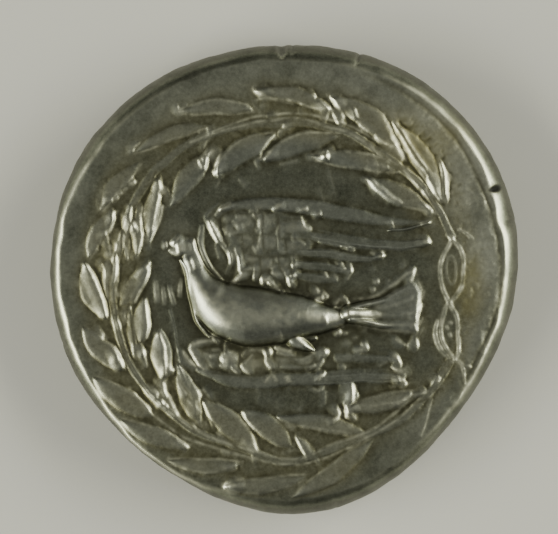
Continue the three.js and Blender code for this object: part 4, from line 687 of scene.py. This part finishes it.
# ------------------------------------------------------------------ under face, plainer
LG = 0.05
n_low = int(round(2 * SPAN / LG)) + 1
low_axis = np.linspace(-SPAN, SPAN, n_low)
LX, LY = np.meshgrid(low_axis, low_axis)
LR = np.hypot(LX, LY)
LOW = -(FIELD_BOTTOM + FIELD_FALL * np.maximum(0, LR - FIELD_FLAT) * smooth((LR - FIELD_FLAT + 1.2) / 2.4))
LOW += 0.012 * noise(2.6, 21)[::2, ::2][:n_low, :n_low]
BEAST = [
    ([[-4.3, 0.3], [-2.6, 0.8], [0.2, 0.5], [2.6, 0.7], [4.0, 0.3]], [0.9, 1.35, 1.0, 1.3, 0.9], [0.55, 0.85, 0.75, 0.85, 0.5]),
    ([[-3.8, 1.2], [-5.2, 2.3], [-6.4, 2.4]], [0.9, 0.95, 0.5], [0.65, 0.75, 0.45]),
    ([[-3.4, 0.0], [-4.6, -1.9], [-4.1, -4.0], [-5.0, -4.4]], [0.6, 0.46, 0.32, 0.30], [0.55, 0.50, 0.45, 0.45]),
    ([[-2.4, -0.2], [-2.6, -2.2], [-1.6, -4.0], [-2.4, -4.4]], [0.6, 0.44, 0.32, 0.30], [0.50, 0.45, 0.42, 0.42]),
    ([[2.8, 0.0], [2.0, -1.9], [3.0, -3.8], [2.0, -4.3]], [0.8, 0.50, 0.32, 0.30], [0.55, 0.50, 0.45, 0.45]),
    ([[3.8, 0.2], [4.4, -1.8], [5.4, -3.8], [4.5, -4.3]], [0.8, 0.48, 0.32, 0.30], [0.55, 0.48, 0.45, 0.45]),
    ([[4.2, 0.8], [6.0, 1.6], [6.6, 3.4], [5.2, 4.6], [4.4, 4.2]], [0.34, 0.28, 0.26, 0.26, 0.34], [0.42, 0.45, 0.45, 0.45, 0.45]),
    ([[0.6, 1.2], [0.4, 3.0], [-0.7, 3.7]], [0.55, 0.42, 0.34], [0.50, 0.50, 0.42]),
    ([[0.6, 3.4], [1.6, 4.4], [1.9, 5.2]], [0.16, 0.14, 0.10], [0.34, 0.32, 0.28]),
    ([[-6.0, -5.0], [6.0, -5.0]], [0.16], [0.3]),
]
low_field = LOW.copy()
for path, half, high in BEAST:
    c = line(path, 40)
    w, h = spread(half, 40), spread(high, 40)
    m = np.zeros_like(LOW)
    for k in range(39):
        a, b = c[k], c[k + 1]
        r = max(w[k], w[k + 1])
        i0, i1 = int((min(a[1], b[1]) - r + SPAN) / LG), int((max(a[1], b[1]) + r + SPAN) / LG) + 2
        j0, j1 = int((min(a[0], b[0]) - r + SPAN) / LG), int((max(a[0], b[0]) + r + SPAN) / LG) + 2
        x, y = LX[i0:i1, j0:j1], LY[i0:i1, j0:j1]
        d = b - a
        u = np.clip(((x - a[0]) * d[0] + (y - a[1]) * d[1]) / max(d @ d, 1e-12), 0, 1)
        dist = np.hypot(x - a[0] - u * d[0], y - a[1] - u * d[1])
        v = (h[k] + (h[k + 1] - h[k]) * u) * section(dist / (w[k] + (w[k + 1] - w[k]) * u), "round")
        np.maximum(m[i0:i1, j0:j1], v, out=m[i0:i1, j0:j1])
    LOW = np.where(m > 1e-4, soft_max(LOW, low_field + m, 0.03), LOW)
# locks of the mane and ribs, then wear to one plane
for k in range(9):
    a = math.radians(100 + k * 14)
    c = line([[-4.6 + 0.75 * math.cos(a), 1.6 + 0.75 * math.sin(a)], [-4.6 + 1.5 * math.cos(a + 0.25), 1.6 + 1.5 * math.sin(a + 0.25)]], 8)
    for p in c:
        LOW += 0.05 * np.exp(-((LX - p[0]) ** 2 + (LY - p[1]) ** 2) / 0.012)
for k in range(4):
    LOW -= 0.04 * np.exp(-((LX + 0.9 - 0.62 * k - 0.12 * (LY - 0.5)) / 0.09) ** 2) * np.exp(-((LY - 0.6) / 0.7) ** 2)
LOW = np.where(LOW > -0.03, -0.03 + 0.03 * np.tanh((LOW + 0.03) / 0.03), LOW)
LOW = np.minimum(LOW, 0.0)
f = np.fft.rfft2(LOW)
ky, kx = np.fft.fftfreq(n_low, LG)[:, None], np.fft.rfftfreq(n_low, LG)[None, :]
LOW = np.minimum(np.fft.irfft2(f * np.exp(-2 * (math.pi * 0.05) ** 2 * (kx * kx + ky * ky)), s=LOW.shape), 0.0)
LOW_CAV = LOW - np.fft.irfft2(f * np.exp(-2 * (math.pi * 0.35) ** 2 * (kx * kx + ky * ky)), s=LOW.shape)


def sample_low(a, x, y):
    fx, fy = (x + SPAN) / LG, (y + SPAN) / LG
    j, i = np.clip(fx.astype(int), 0, n_low - 2), np.clip(fy.astype(int), 0, n_low - 2)
    u, v = fx - j, fy - i
    return (a[i, j] * (1 - u) + a[i, j + 1] * u) * (1 - v) + (a[i + 1, j] * (1 - u) + a[i + 1, j + 1] * u) * v


# ------------------------------------------------------------------ mesh
def disc(rings):
    """Points of a square grid wrapped to the unit disc, ring by ring, and its square faces."""
    n = 2 * rings + 1
    k = np.arange(-rings, rings + 1)
    a, b = np.meshgrid(k, k)                       # a to the right, b upwards
    ring = np.maximum(np.abs(a), np.abs(b))
    with np.errstate(divide="ignore", invalid="ignore"):
        t = np.where(np.abs(a) >= np.abs(b), np.where(a > 0, b / np.abs(a), 4 - b / np.abs(a) + 0.0), np.where(b > 0, 2 - a / np.abs(b), 6 + a / np.abs(b)))
    t = np.where(ring == 0, 0.0, t)
    theta = t * math.pi / 4                        # each side of the square takes a quarter turn
    idx = np.arange(n * n).reshape(n, n)
    quads = np.stack([idx[:-1, :-1], idx[:-1, 1:], idx[1:, 1:], idx[1:, :-1]], axis=-1).reshape(-1, 4)
    # boundary indices, counter-clockwise from angle zero
    bound = ring.ravel() == rings
    ids = idx.ravel()[bound]
    order = np.argsort(np.mod(theta.ravel()[bound], 2 * math.pi))
    return ring.ravel() / rings, theta.ravel(), quads, ids[order]


HAMMER, HAMMER_FINE = noise(0.75, 81), noise(0.22, 82)


def edge_profile(theta, s):
    """Radius and height of the edge. s runs from 0 at the struck face to 1 at the under face."""
    rf, re = face_radius(theta), edge_radius(theta)
    rb = re - 0.72
    z_top = sample(H, rf * np.cos(theta), rf * np.sin(theta))
    zb = -sample_low(LOW, rb * np.cos(theta), rb * np.sin(theta))
    z_bot = zb
    start = math.radians(20)
    a = start + np.clip(s / 0.56, 0, 1) * (math.pi / 2 - start)
    b = np.clip((s - 0.56) / 0.44, 0, 1) * math.pi / 2
    r = np.where(s < 0.56, rf + (re - rf) * (np.sin(a) - math.sin(start)) / (1 - math.sin(start)), rb + (re - rb) * np.cos(b) ** 1.25)
    z = np.where(s < 0.56, z_top - (z_top - BELLY) * (math.cos(start) - np.cos(a)) / math.cos(start), BELLY - (BELLY - z_bot) * np.sin(b) ** 1.05)
    # hammered irregularity and the two edge nicks
    mid = np.sin(np.clip(s, 0, 1) * math.pi)
    turn = 8.6 + 2.2 * s
    r = r - mid * (0.046 + 0.017 * np.clip(sample(HAMMER, turn * np.cos(theta), turn * np.sin(theta)), -1.7, 2.2) + 0.006 * np.clip(sample(HAMMER_FINE, turn * np.cos(theta), turn * np.sin(theta)), -1.7, 2.2))
    for deg_at, wide, deep in ((90.3, 1.0, 0.30), (87.6, 0.5, 0.10), (71.2, 0.45, 0.20), (283.0, 0.5, 0.06), (196.0, 0.7, 0.05), (14.2, 0.5, 0.08)):
        d = (np.degrees(theta) - deg_at + 180) % 360 - 180
        r = r - deep * np.exp(-(d / wide) ** 2) * np.exp(-((s - 0.30) / 0.22) ** 2)
    return r, z


fr, th, quads, bound = disc(RINGS)
rf = face_radius(th)
r = fr * (FACE_RADIUS + (rf - FACE_RADIUS) * fr ** 2)
top_x, top_y = r * np.cos(th), r * np.sin(th)
# the chip in the right rim; its near-black colour further down is painted shade


def chip(x, y):
    u, v = (x - 10.60) * 0.97 + (y - 4.56) * 0.24, (y - 4.56) * 0.97 - (x - 10.60) * 0.24
    return np.exp(-((u / 0.30) ** 2 + (v / (0.125 + 0.10 * np.clip(u, -0.3, 0.3))) ** 2) ** 1.6)


top_z = sample(H, top_x, top_y) - 0.24 * chip(top_x, top_y)
verts = [np.stack([top_x, top_y, top_z], axis=1)]
faces = [quads]
tris = []
count = len(top_x)

n_edge = len(bound) // 2
edge_theta = th[bound][::2]
rows = []
for j in range(1, EDGE_ROWS):
    s = j / EDGE_ROWS
    er, ez = edge_profile(edge_theta, np.full_like(edge_theta, s))
    ez = ez - 0.24 * chip(er * np.cos(edge_theta), er * np.sin(edge_theta)) * smooth((0.5 - s) / 0.3)
    rows.append(np.arange(count, count + n_edge))
    verts.append(np.stack([er * np.cos(edge_theta), er * np.sin(edge_theta), ez], axis=1))
    count += n_edge

# under disc, with half as many rings
lfr, lth, lquads, lbound = disc(RINGS // 2 if RINGS % 2 == 0 else RINGS // 2)
lr_edge = edge_radius(lth) - 0.72
lr = lfr * (EDGE_RADIUS - 0.72 + (lr_edge - EDGE_RADIUS + 0.72) * lfr ** 2)
lx, ly = lr * np.cos(lth), lr * np.sin(lth)
verts.append(np.stack([lx, ly, -sample_low(LOW, lx, ly)], axis=1))
faces.append(lquads[:, ::-1] + count)
low_ring = lbound + count
low_theta = lth[lbound]
low_start = count
count += len(lx)


def stitch(ring_a, theta_a, ring_b, theta_b):
    """Triangles between two rings of any counts, both counter-clockwise; ring_a is the upper one."""
    out = []
    i = j = 0
    na, nb = len(ring_a), len(ring_b)
    ta = np.concatenate([theta_a, [theta_a[0] + 2 * math.pi]])
    tb = np.concatenate([theta_b, [theta_b[0] + 2 * math.pi]])
    while i < na or j < nb:
        if j >= nb or (i < na and ta[i + 1] <= tb[j + 1]):
            out.append((ring_a[i % na], ring_b[j % nb], ring_a[(i + 1) % na]))
            i += 1
        else:
            out.append((ring_a[i % na], ring_b[j % nb], ring_b[(j + 1) % nb]))
            j += 1
    return np.array(out)


tris.append(stitch(bound, np.mod(th[bound], 2 * math.pi), rows[0], np.mod(edge_theta, 2 * math.pi)))
for a, b in zip(rows[:-1], rows[1:]):
    faces.append(np.stack([a, b, np.roll(b, -1), np.roll(a, -1)], axis=1))
tris.append(stitch(rows[-1], np.mod(edge_theta, 2 * math.pi), low_ring, np.mod(low_theta, 2 * math.pi)))

V = np.vstack(verts)
Q = np.vstack(faces)
F = np.vstack([Q[:, [0, 1, 2]], Q[:, [0, 2, 3]]] + tris)

# place the outline's box under the CAD box, in metres
lo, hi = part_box("coin")
cad_mid = np.array([(lo.x + hi.x) / 2, (lo.y + hi.y) / 2]) * 1000
own_mid = (V[:, :2].min(0) + V[:, :2].max(0)) / 2
SHIFT = cad_mid - own_mid
V[:, :2] = (V[:, :2] - own_mid) * 0.9990 + cad_mid
V[:, 2] = np.clip(V[:, 2], 0.0, hi.z * 1000 - 0.003)

mesh = bpy.data.meshes.new("coin_struck")
mesh.vertices.add(len(V))
mesh.vertices.foreach_set("co", (V / 1000).astype(np.float32).ravel())
mesh.loops.add(len(F) * 3)
mesh.loops.foreach_set("vertex_index", F.astype(np.int32).ravel())
mesh.polygons.add(len(F))
mesh.polygons.foreach_set("loop_start", np.arange(0, len(F) * 3, 3, dtype=np.int32))
mesh.update(calc_edges=True)
mesh.validate()
coin = bpy.data.objects.new("coin_struck", mesh)
bpy.context.scene.collection.objects.link(coin)

if len(mesh.polygons) > TARGET_FACES:
    mod = coin.modifiers.new("thin", "DECIMATE")
    mod.ratio = TARGET_FACES / len(mesh.polygons)
    mod.use_collapse_triangulate = True
    deps = bpy.context.evaluated_depsgraph_get()
    thin = bpy.data.meshes.new_from_object(coin.evaluated_get(deps))
    coin.modifiers.clear()
    coin.data = thin
    mesh = thin
    mesh.name = "coin_struck"

nv, npoly = len(mesh.vertices), len(mesh.polygons)
co = np.zeros(nv * 3, np.float32)
mesh.vertices.foreach_get("co", co)
co = co.reshape(-1, 3).astype(float) * 1000
x, y, z = co[:, 0] - SHIFT[0], co[:, 1] - SHIFT[1], co[:, 2]
rad, ang = np.hypot(x, y), np.arctan2(y, x)
upper = smooth((face_radius(ang) - 0.02 - rad) / 0.06) * (z > BELLY + 0.3)
lower = smooth((edge_radius(ang) - 0.80 - rad) / 0.10) * (z < BELLY - 0.3)

# smooth normals; on the struck face they follow the full height map
mesh.polygons.foreach_set("use_smooth", np.ones(npoly, bool))
vn = np.zeros(nv * 3, np.float32)
mesh.vertices.foreach_get("normal", vn)
vn = vn.reshape(-1, 3).astype(float)
gy, gx = np.gradient(H, GRID)
nx, ny = -sample(gx, x, y), -sample(gy, x, y)
ln = np.sqrt(nx * nx + ny * ny + 1)
fine = np.stack([nx / ln, ny / ln, 1 / ln], axis=1)
w = (upper * 0.85)[:, None]
nn = vn * (1 - w) + fine * w
nn /= np.linalg.norm(nn, axis=1)[:, None]
mesh.normals_split_custom_set_from_vertices(nn.astype(np.float32))

# masks for the finish: toning and painted shade in hollows, raised wear, toning, painted shade on the edge, painted
# highlights, wear with painted sheen and shade
cav = np.where(upper > 0.02, sample(CAV, x, y), 0) * upper
cav2 = np.where(upper > 0.02, sample(CAV2, x, y), 0) * upper
relief = sample(RELIEF, x, y) * upper
low_c = sample_low(LOW_CAV, x, y) * lower
hollow_tone_and_shade = np.clip(-cav / 0.030, 0, 1) * 0.7 + np.clip(-cav2 / 0.060, 0, 1) * 0.6 + np.clip(-low_c / 0.10, 0, 1) * 0.7
raised = np.clip(relief / 0.13, 0, 1.0) * 0.55 + np.clip(cav / 0.05, 0, 1) * 0.4 + np.clip(low_c / 0.08, 0, 1) * 0.6
a_deg = np.degrees(ang)


def patch(cx, cy, sx, sy):
    return np.exp(-((x - cx) / sx) ** 2 - ((y - cy) / sy) ** 2) * (z > BELLY)


warm = (0.9 * patch(6.9, 7.0, 2.2, 1.6) + 0.6 * patch(9.5, -0.4, 0.85, 3.8) + 0.55 * patch(-7.6, 5.2, 1.8, 1.4) + 0.5 * patch(-8.4, -0.2, 1.6, 3.2) + 0.45 * patch(-5.6, -7.2, 2.6, 1.8)
        + 0.50 * patch(-0.9, -4.0, 3.4, 0.8) + 0.35 * patch(-0.8, 1.9, 2.4, 1.7) + 0.35 * patch(1.0, 8.0, 6.5, 1.2) + 0.35 * patch(1.0, -8.7, 6.0, 1.2) + 0.7 * patch(8.8, 1.6, 0.9, 4.2))
warm = np.clip(warm * (0.75 + 0.35 * sample(noise(1.4, 31), x, y)), 0, 1)
grain = np.clip(0.5 + 0.22 * sample(noise(0.35, 32), x, y), 0, 1)
# painted shade: the edge below the face darkened, partly dark toning
edge_shade = smooth((3.02 - z) / 0.36) * (1 - lower)
# painted highlight along the shoulder of the rim, strongest on the sides towards the two lamps
shoulder_highlight = np.exp(-((rad - face_radius(ang) - 0.00) / 0.10) ** 2) * (z > 2.3) * np.clip(0.80 + 0.26 * np.clip(sample(noise(0.9, 69), x, y), -1.5, 1) + 0.12 * sample(noise(0.25, 70), x, y), 0, 1.1)
hollow_tone_and_shade = np.maximum(hollow_tone_and_shade, sample(blur(PAINTED_SHADE, 0.030), x, y) * upper)
# the groove inside the right rim darkened: toning and painted shade
groove = np.interp(np.degrees(ang), [-36, -26, 30, 62, 74], [0, 1, 1, 0.7, 0]) * np.exp(-((rad - np.interp(np.degrees(ang), GROOVE_DEG, GROOVE_R)) / 0.17) ** 2) * (z > BELLY)
hollow_tone_and_shade = np.maximum(hollow_tone_and_shade, 0.86 * groove)
# painted shade: the chip darkened and kept free of highlight
chipped = np.exp(-(((x - 10.60) / 0.38) ** 2 + ((y - 4.56 - 0.24 * (x - 10.6)) / (0.21 + 0.10 * np.clip(x - 10.6, -0.3, 0.3))) ** 2) ** 2) * (z > BELLY)
hollow_tone_and_shade = np.maximum(hollow_tone_and_shade, chipped)
highlight_clean = np.maximum(sample(blur(HIGHLIGHT_AND_CLEAN, 0.030), x, y) * upper, shoulder_highlight * (0.15 + 0.85 * np.abs(np.cos(ang - 0.20)) ** 1.5)) * (1 - chipped)
# lighter metal on the outer field, most towards the upper right, darker towards the bottom: partly wear, partly
# painted sheen and shade
side_deg = np.cos(np.radians(a_deg - 25))
wear_and_painted_light = smooth((rad - 8.9) / 1.1) * (0.30 + 0.22 * side_deg) * (z > BELLY) + 0.9 * patch(8.9, 5.4, 1.5, 1.9) + 0.45 * patch(9.9, 1.6, 1.0, 1.9) + 0.55 * patch(6.3, 7.6, 1.2, 0.9) + 0.3 * patch(7.9, 8.0, 1.0, 0.8) + 0.35 * patch(-5.4, 1.9, 0.7, 1.6) - 0.25 * patch(7.3, 7.4, 0.6, 0.5) + 0.3 * patch(1.0, -10.3, 4.0, 0.6)
wear_and_painted_light = wear_and_painted_light - 0.54 * patch(-0.5, -9.8, 6.0, 1.5) + 0.10 * patch(-10.3, 0.3, 0.9, 5.0) - 0.06 * patch(9.6, 0.0, 0.9, 3.6) - 0.32 * patch(8.6, -5.0, 1.2, 1.6) + 0.22 * patch(8.3, 6.3, 0.8, 0.9) + 0.20 * patch(9.6, 2.5, 0.5, 0.8)
wear_and_painted_light = np.clip(wear_and_painted_light * (1 + 0.22 * sample(noise(0.8, 33), x, y)), 0, 1) * upper
zone = np.clip(sample(blur(np.clip(RELIEF / 0.06, 0, 1), 0.45), x, y) * 1.3, 0, 1) * smooth((rad - 6.6) / 0.9)
zone = np.maximum(zone, 0.85 * smooth((rad - 8.7) / 0.5) * smooth((10.3 - rad) / 0.7) * smooth((62 - np.abs(a_deg - 6)) / 25)) * upper
for name, values in (("chip_shade", chipped), ("highlight_clean", highlight_clean), ("wear_and_painted_light", wear_and_painted_light), ("zone", zone), ("hollow_tone_and_shade", hollow_tone_and_shade), ("raised", raised), ("warm", warm), ("grain", grain), ("edge_shade", edge_shade)):
    att = mesh.attributes.new(name, "FLOAT", "POINT")
    att.data.foreach_set("value", np.clip(values, 0, 1).astype(np.float32))

# flat layout for baking: upper disc, under disc and an unrolled edge
uv = mesh.uv_layers.new(name="OFBake")
loops = np.zeros(npoly * 3, np.int32)
mesh.loops.foreach_get("vertex_index", loops)
tri = loops.reshape(-1, 3)
fz = z[tri].mean(1)
fr_ = rad[tri].mean(1)
fa = ang[tri]
is_top = (fr_ < face_radius(fa).mean(1) + 0.03) & (fz > BELLY + 0.5)
is_low = (fr_ < edge_radius(fa).mean(1) - 0.66) & (fz < BELLY - 0.5)
uvs = np.zeros((npoly, 3, 2))
px_, py_ = x[tri], y[tri]
uvs[is_top] = np.stack([0.325 + px_[is_top] / 24.6 * 0.63, 0.675 + py_[is_top] / 24.6 * 0.63], axis=-1)
uvs[is_low] = np.stack([0.825 - px_[is_low] / 24.6 * 0.33, 0.82 + py_[is_low] / 24.6 * 0.33], axis=-1)
side = ~(is_top | is_low)
sa = fa[side]
sa = np.where(sa - sa.min(1, keepdims=True) > math.pi, sa - 2 * math.pi, sa)
strip = (sa + math.pi) / (2 * math.pi)                 # about 0 to 1 round the edge
half_turn = strip.mean(1) > 0.5
u_ = np.where(half_turn[:, None], strip - 0.5, strip) * 1.86 + 0.035
zz = z[tri][side]
rr = rad[tri][side]
drop = np.clip((3.35 - zz) / 3.35, 0, 1)
v_ = 0.29 - drop * 0.10 - np.where(half_turn, 0.14, 0.0)[:, None]
uvs[side] = np.stack([u_, v_], axis=-1)
uv.data.foreach_set("uv", uvs.reshape(-1, 2).astype(np.float32).ravel())

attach(coin, "root")
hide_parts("coin")

# ------------------------------------------------------------------ finish
silver = bpy.data.materials.new("toned silver")
silver.use_nodes = True
nt = silver.node_tree
bsdf = nt.nodes["Principled BSDF"]
bsdf.inputs["Metallic"].default_value = 1.0


def node(kind, **values):
    n = nt.nodes.new(kind)
    for k, v in values.items():
        setattr(n, k, v)
    return n


def attribute(name):
    return node("ShaderNodeAttribute", attribute_name=name).outputs["Fac"]


def math_node(op, a, b=None, clamp=False):
    n = node("ShaderNodeMath", operation=op, use_clamp=clamp)
    for i, v in enumerate((a, b)):
        if v is None:
            continue
        if isinstance(v, (int, float)):
            n.inputs[i].default_value = v
        else:
            nt.links.new(v, n.inputs[i])
    return n.outputs[0]


def mix(fac, a, b):
    n = node("ShaderNodeMix", data_type="RGBA")
    for sock, v in ((n.inputs[0], fac), (n.inputs[6], a), (n.inputs[7], b)):
        if isinstance(v, (int, float)):
            sock.default_value = v
        elif isinstance(v, tuple):
            sock.default_value = (*v, 1.0)
        else:
            nt.links.new(v, sock)
    return n.outputs[2]


def noise_node(scale, detail=4.0, rough=0.55):
    co_ = node("ShaderNodeTexCoord").outputs["Object"]
    n = node("ShaderNodeTexNoise")
    nt.links.new(co_, n.inputs["Vector"])
    n.inputs["Scale"].default_value = scale
    n.inputs["Detail"].default_value = detail
    n.inputs["Roughness"].default_value = rough
    return n.outputs[0]


hollow_tone_and_shade_, raised_, warm_, grain_, edge_shade_, zone_, highlight_clean_, wear_and_painted_light_, chip_shade_ = (attribute(k) for k in ("hollow_tone_and_shade", "raised", "warm", "grain", "edge_shade", "zone", "highlight_clean", "wear_and_painted_light", "chip_shade"))
cloud = noise_node(520.0, 5.0, 0.6)
speck = noise_node(5200.0, 3.0, 0.6)
# base metal with a thin grey-olive film, cleaner on the worn high points
fine_speck = noise_node(13000.0, 2.0, 0.6)
film = math_node("ADD", math_node("MULTIPLY", cloud, 0.22), math_node("ADD", math_node("MULTIPLY", speck, 0.34), math_node("MULTIPLY", grain_, 0.18)))
film = math_node("ADD", film, math_node("MULTIPLY", fine_speck, 0.26))
film = math_node("ADD", math_node("MULTIPLY", math_node("SUBTRACT", film, 0.5), 2.6), 0.5, clamp=True)
field = mix(film, (0.104, 0.113, 0.083), (0.345, 0.361, 0.287))
grit = math_node("ADD", math_node("MULTIPLY", noise_node(4200.0, 4.0, 0.7), 0.6), math_node("MULTIPLY", noise_node(9500.0, 2.0, 0.6), 0.4))
grit = math_node("ADD", math_node("MULTIPLY", math_node("SUBTRACT", grit, 0.5), 4.6), 0.5, clamp=True)
field = mix(math_node("MULTIPLY", zone_, 0.62), field, mix(grit, (0.130, 0.122, 0.062), (0.560, 0.565, 0.430)))
# lighter metal where the wear mask is set: partly wear, partly painted sheen and shade
field = mix(wear_and_painted_light_, field, mix(film, (0.50, 0.51, 0.42), (0.80, 0.82, 0.69)))
clean = mix(film, (0.53, 0.556, 0.478), (0.77, 0.80, 0.72))
metal = mix(math_node("MULTIPLY", raised_, 0.85), field, clean)
# warm brown toning in the recesses and in patches
brown_f = math_node("MULTIPLY", math_node("ADD", math_node("MULTIPLY", hollow_tone_and_shade_, 0.35), math_node("ADD", math_node("MULTIPLY", warm_, 0.5), math_node("MULTIPLY", zone_, 0.30))), math_node("ADD", math_node("MULTIPLY", cloud, 1.1), 0.35), clamp=True)
colour = mix(brown_f, metal, (0.300, 0.275, 0.140))
# painted shade: near-black in the hollows and where shade is painted, partly dark toning
dark_f = math_node("POWER", hollow_tone_and_shade_, 1.8, clamp=True)
colour = mix(math_node("MULTIPLY", dark_f, 0.74), colour, (0.055, 0.055, 0.034))
# painted highlight: warm near-white where the highlight mask is set, partly clean worn metal
colour = mix(math_node("MULTIPLY", highlight_clean_, 0.86), colour, (0.93, 0.93, 0.73))
# painted shade on the edge: darker, less metallic and rougher, partly toning
edge_shade_f = math_node("MULTIPLY", edge_shade_, math_node("ADD", math_node("MULTIPLY", cloud, 0.5), 0.60), clamp=True)
colour = mix(edge_shade_f, colour, mix(film, (0.058, 0.057, 0.045), (0.145, 0.143, 0.115)))
# painted shade: the chip near-black and not metallic
colour = mix(chip_shade_, colour, (0.012, 0.012, 0.009))
nt.links.new(math_node("SUBTRACT", math_node("SUBTRACT", 1.0, math_node("MULTIPLY", edge_shade_f, 0.45)), chip_shade_, clamp=True), bsdf.inputs["Metallic"])
nt.links.new(colour, bsdf.inputs["Base Color"])
# roughness: worn points smoother, toning duller
rough = math_node("ADD", 0.31, math_node("MULTIPLY", brown_f, 0.14))
rough = math_node("ADD", rough, math_node("MULTIPLY", speck, 0.10))
rough = math_node("ADD", rough, math_node("MULTIPLY", edge_shade_f, 0.14))
rough = math_node("ADD", rough, math_node("MULTIPLY", highlight_clean_, 0.05))
rough = math_node("SUBTRACT", math_node("ADD", rough, math_node("MULTIPLY", chip_shade_, 0.35)), math_node("MULTIPLY", raised_, 0.05), clamp=True)
nt.links.new(rough, bsdf.inputs["Roughness"])
# fine pitting and hairlines
bump = node("ShaderNodeBump")
bump.inputs["Strength"].default_value = 0.35
bump.inputs["Distance"].default_value = 0.00002
height = math_node("ADD", math_node("MULTIPLY", noise_node(3000.0, 5.0, 0.65), 0.8), math_node("MULTIPLY", noise_node(11000.0, 3.0, 0.6), 0.3))
nt.links.new(height, bump.inputs["Height"])
nt.links.new(bump.outputs[0], bsdf.inputs["Normal"])
mesh.materials.clear()
mesh.materials.append(silver)

# ------------------------------------------------------------------ floor, light, camera
bpy.ops.mesh.primitive_plane_add(size=1.2, location=(0, 0, 0))
floor = bpy.context.object
floor.name = "floor"
paper = bpy.data.materials.new("pale floor")
paper.use_nodes = True
pb = paper.node_tree.nodes["Principled BSDF"]
pb.inputs["Base Color"].default_value = (0.74, 0.73, 0.71, 1)
pb.inputs["Roughness"].default_value = 0.8
floor.data.materials.append(paper)

world = bpy.data.worlds.new("studio")
bpy.context.scene.world = world
world.use_nodes = True
wt = world.node_tree
bg = wt.nodes["Background"]
tc = wt.nodes.new("ShaderNodeTexCoord")
sx = wt.nodes.new("ShaderNodeSeparateXYZ")
ramp = wt.nodes.new("ShaderNodeValToRGB")
wt.links.new(tc.outputs["Generated"], sx.inputs[0])
def wmath(op, a_, b_):
    n = wt.nodes.new("ShaderNodeMath")
    n.operation = op
    for i_, v_ in enumerate((a_, b_)):
        if isinstance(v_, (int, float)):
            n.inputs[i_].default_value = v_
        else:
            wt.links.new(v_, n.inputs[i_])
    return n.outputs[0]


up = wmath("POWER", wmath("MAXIMUM", sx.outputs["Z"], 0.0), 4.0)
turned = wmath("ADD", wmath("MULTIPLY", sx.outputs["X"], 0.97), wmath("MULTIPLY", sx.outputs["Y"], 0.24))
side = wmath("POWER", wmath("ABSOLUTE", turned, 0.0), 2.2)
wt.links.new(wmath("ADD", wmath("ADD", 0.045, wmath("MULTIPLY", up, 0.115)), wmath("MULTIPLY", side, 0.50)), ramp.inputs[0])
ramp.color_ramp.elements[0].position = 0.0
ramp.color_ramp.elements[0].color = (0.0, 0.0, 0.0, 1)
ramp.color_ramp.elements[1].position = 1.0
ramp.color_ramp.elements[1].color = (1.0, 1.0, 0.92, 1)
wt.links.new(ramp.outputs[0], bg.inputs[0])
bg.inputs[1].default_value = 1.0


def area(name, at, size, power, colour, aim=(0, 0, 0.003)):
    data = bpy.data.lights.new(name, "AREA")
    data.shape = "RECTANGLE"
    data.size, data.size_y = size
    data.energy = power
    data.color = colour
    o = bpy.data.objects.new(name, data)
    bpy.context.scene.collection.objects.link(o)
    o.location = at
    o.rotation_mode = "QUATERNION"
    o.rotation_quaternion = (Vector(aim) - Vector(at)).to_track_quat("-Z", "Y")
    return o


def place(elevation, azimuth, dist):
    e_, a_ = math.radians(elevation), math.radians(azimuth)
    return (dist * math.cos(e_) * math.cos(a_), dist * math.cos(e_) * math.sin(a_), dist * math.sin(e_) + 0.003)


area("left", place(28, 196, 0.30), (0.30, 0.115), 0.90, (0.975, 0.985, 0.80))
area("right", place(28, 11, 0.30), (0.32, 0.115), 0.90, (0.975, 0.985, 0.80))

cam_data = bpy.data.cameras.new("camera")
cam_data.lens = 135.0
cam_data.sensor_width = 36.0
cam_data.clip_start = 0.005
cam = bpy.data.objects.new("camera", cam_data)
bpy.context.scene.collection.objects.link(cam)
cam.location = ((-0.20 + SHIFT[0]) / 1000, (0.65 + SHIFT[1]) / 1000, 0.0031 + 0.0279 * 135 / 36)
bpy.context.scene.camera = cam
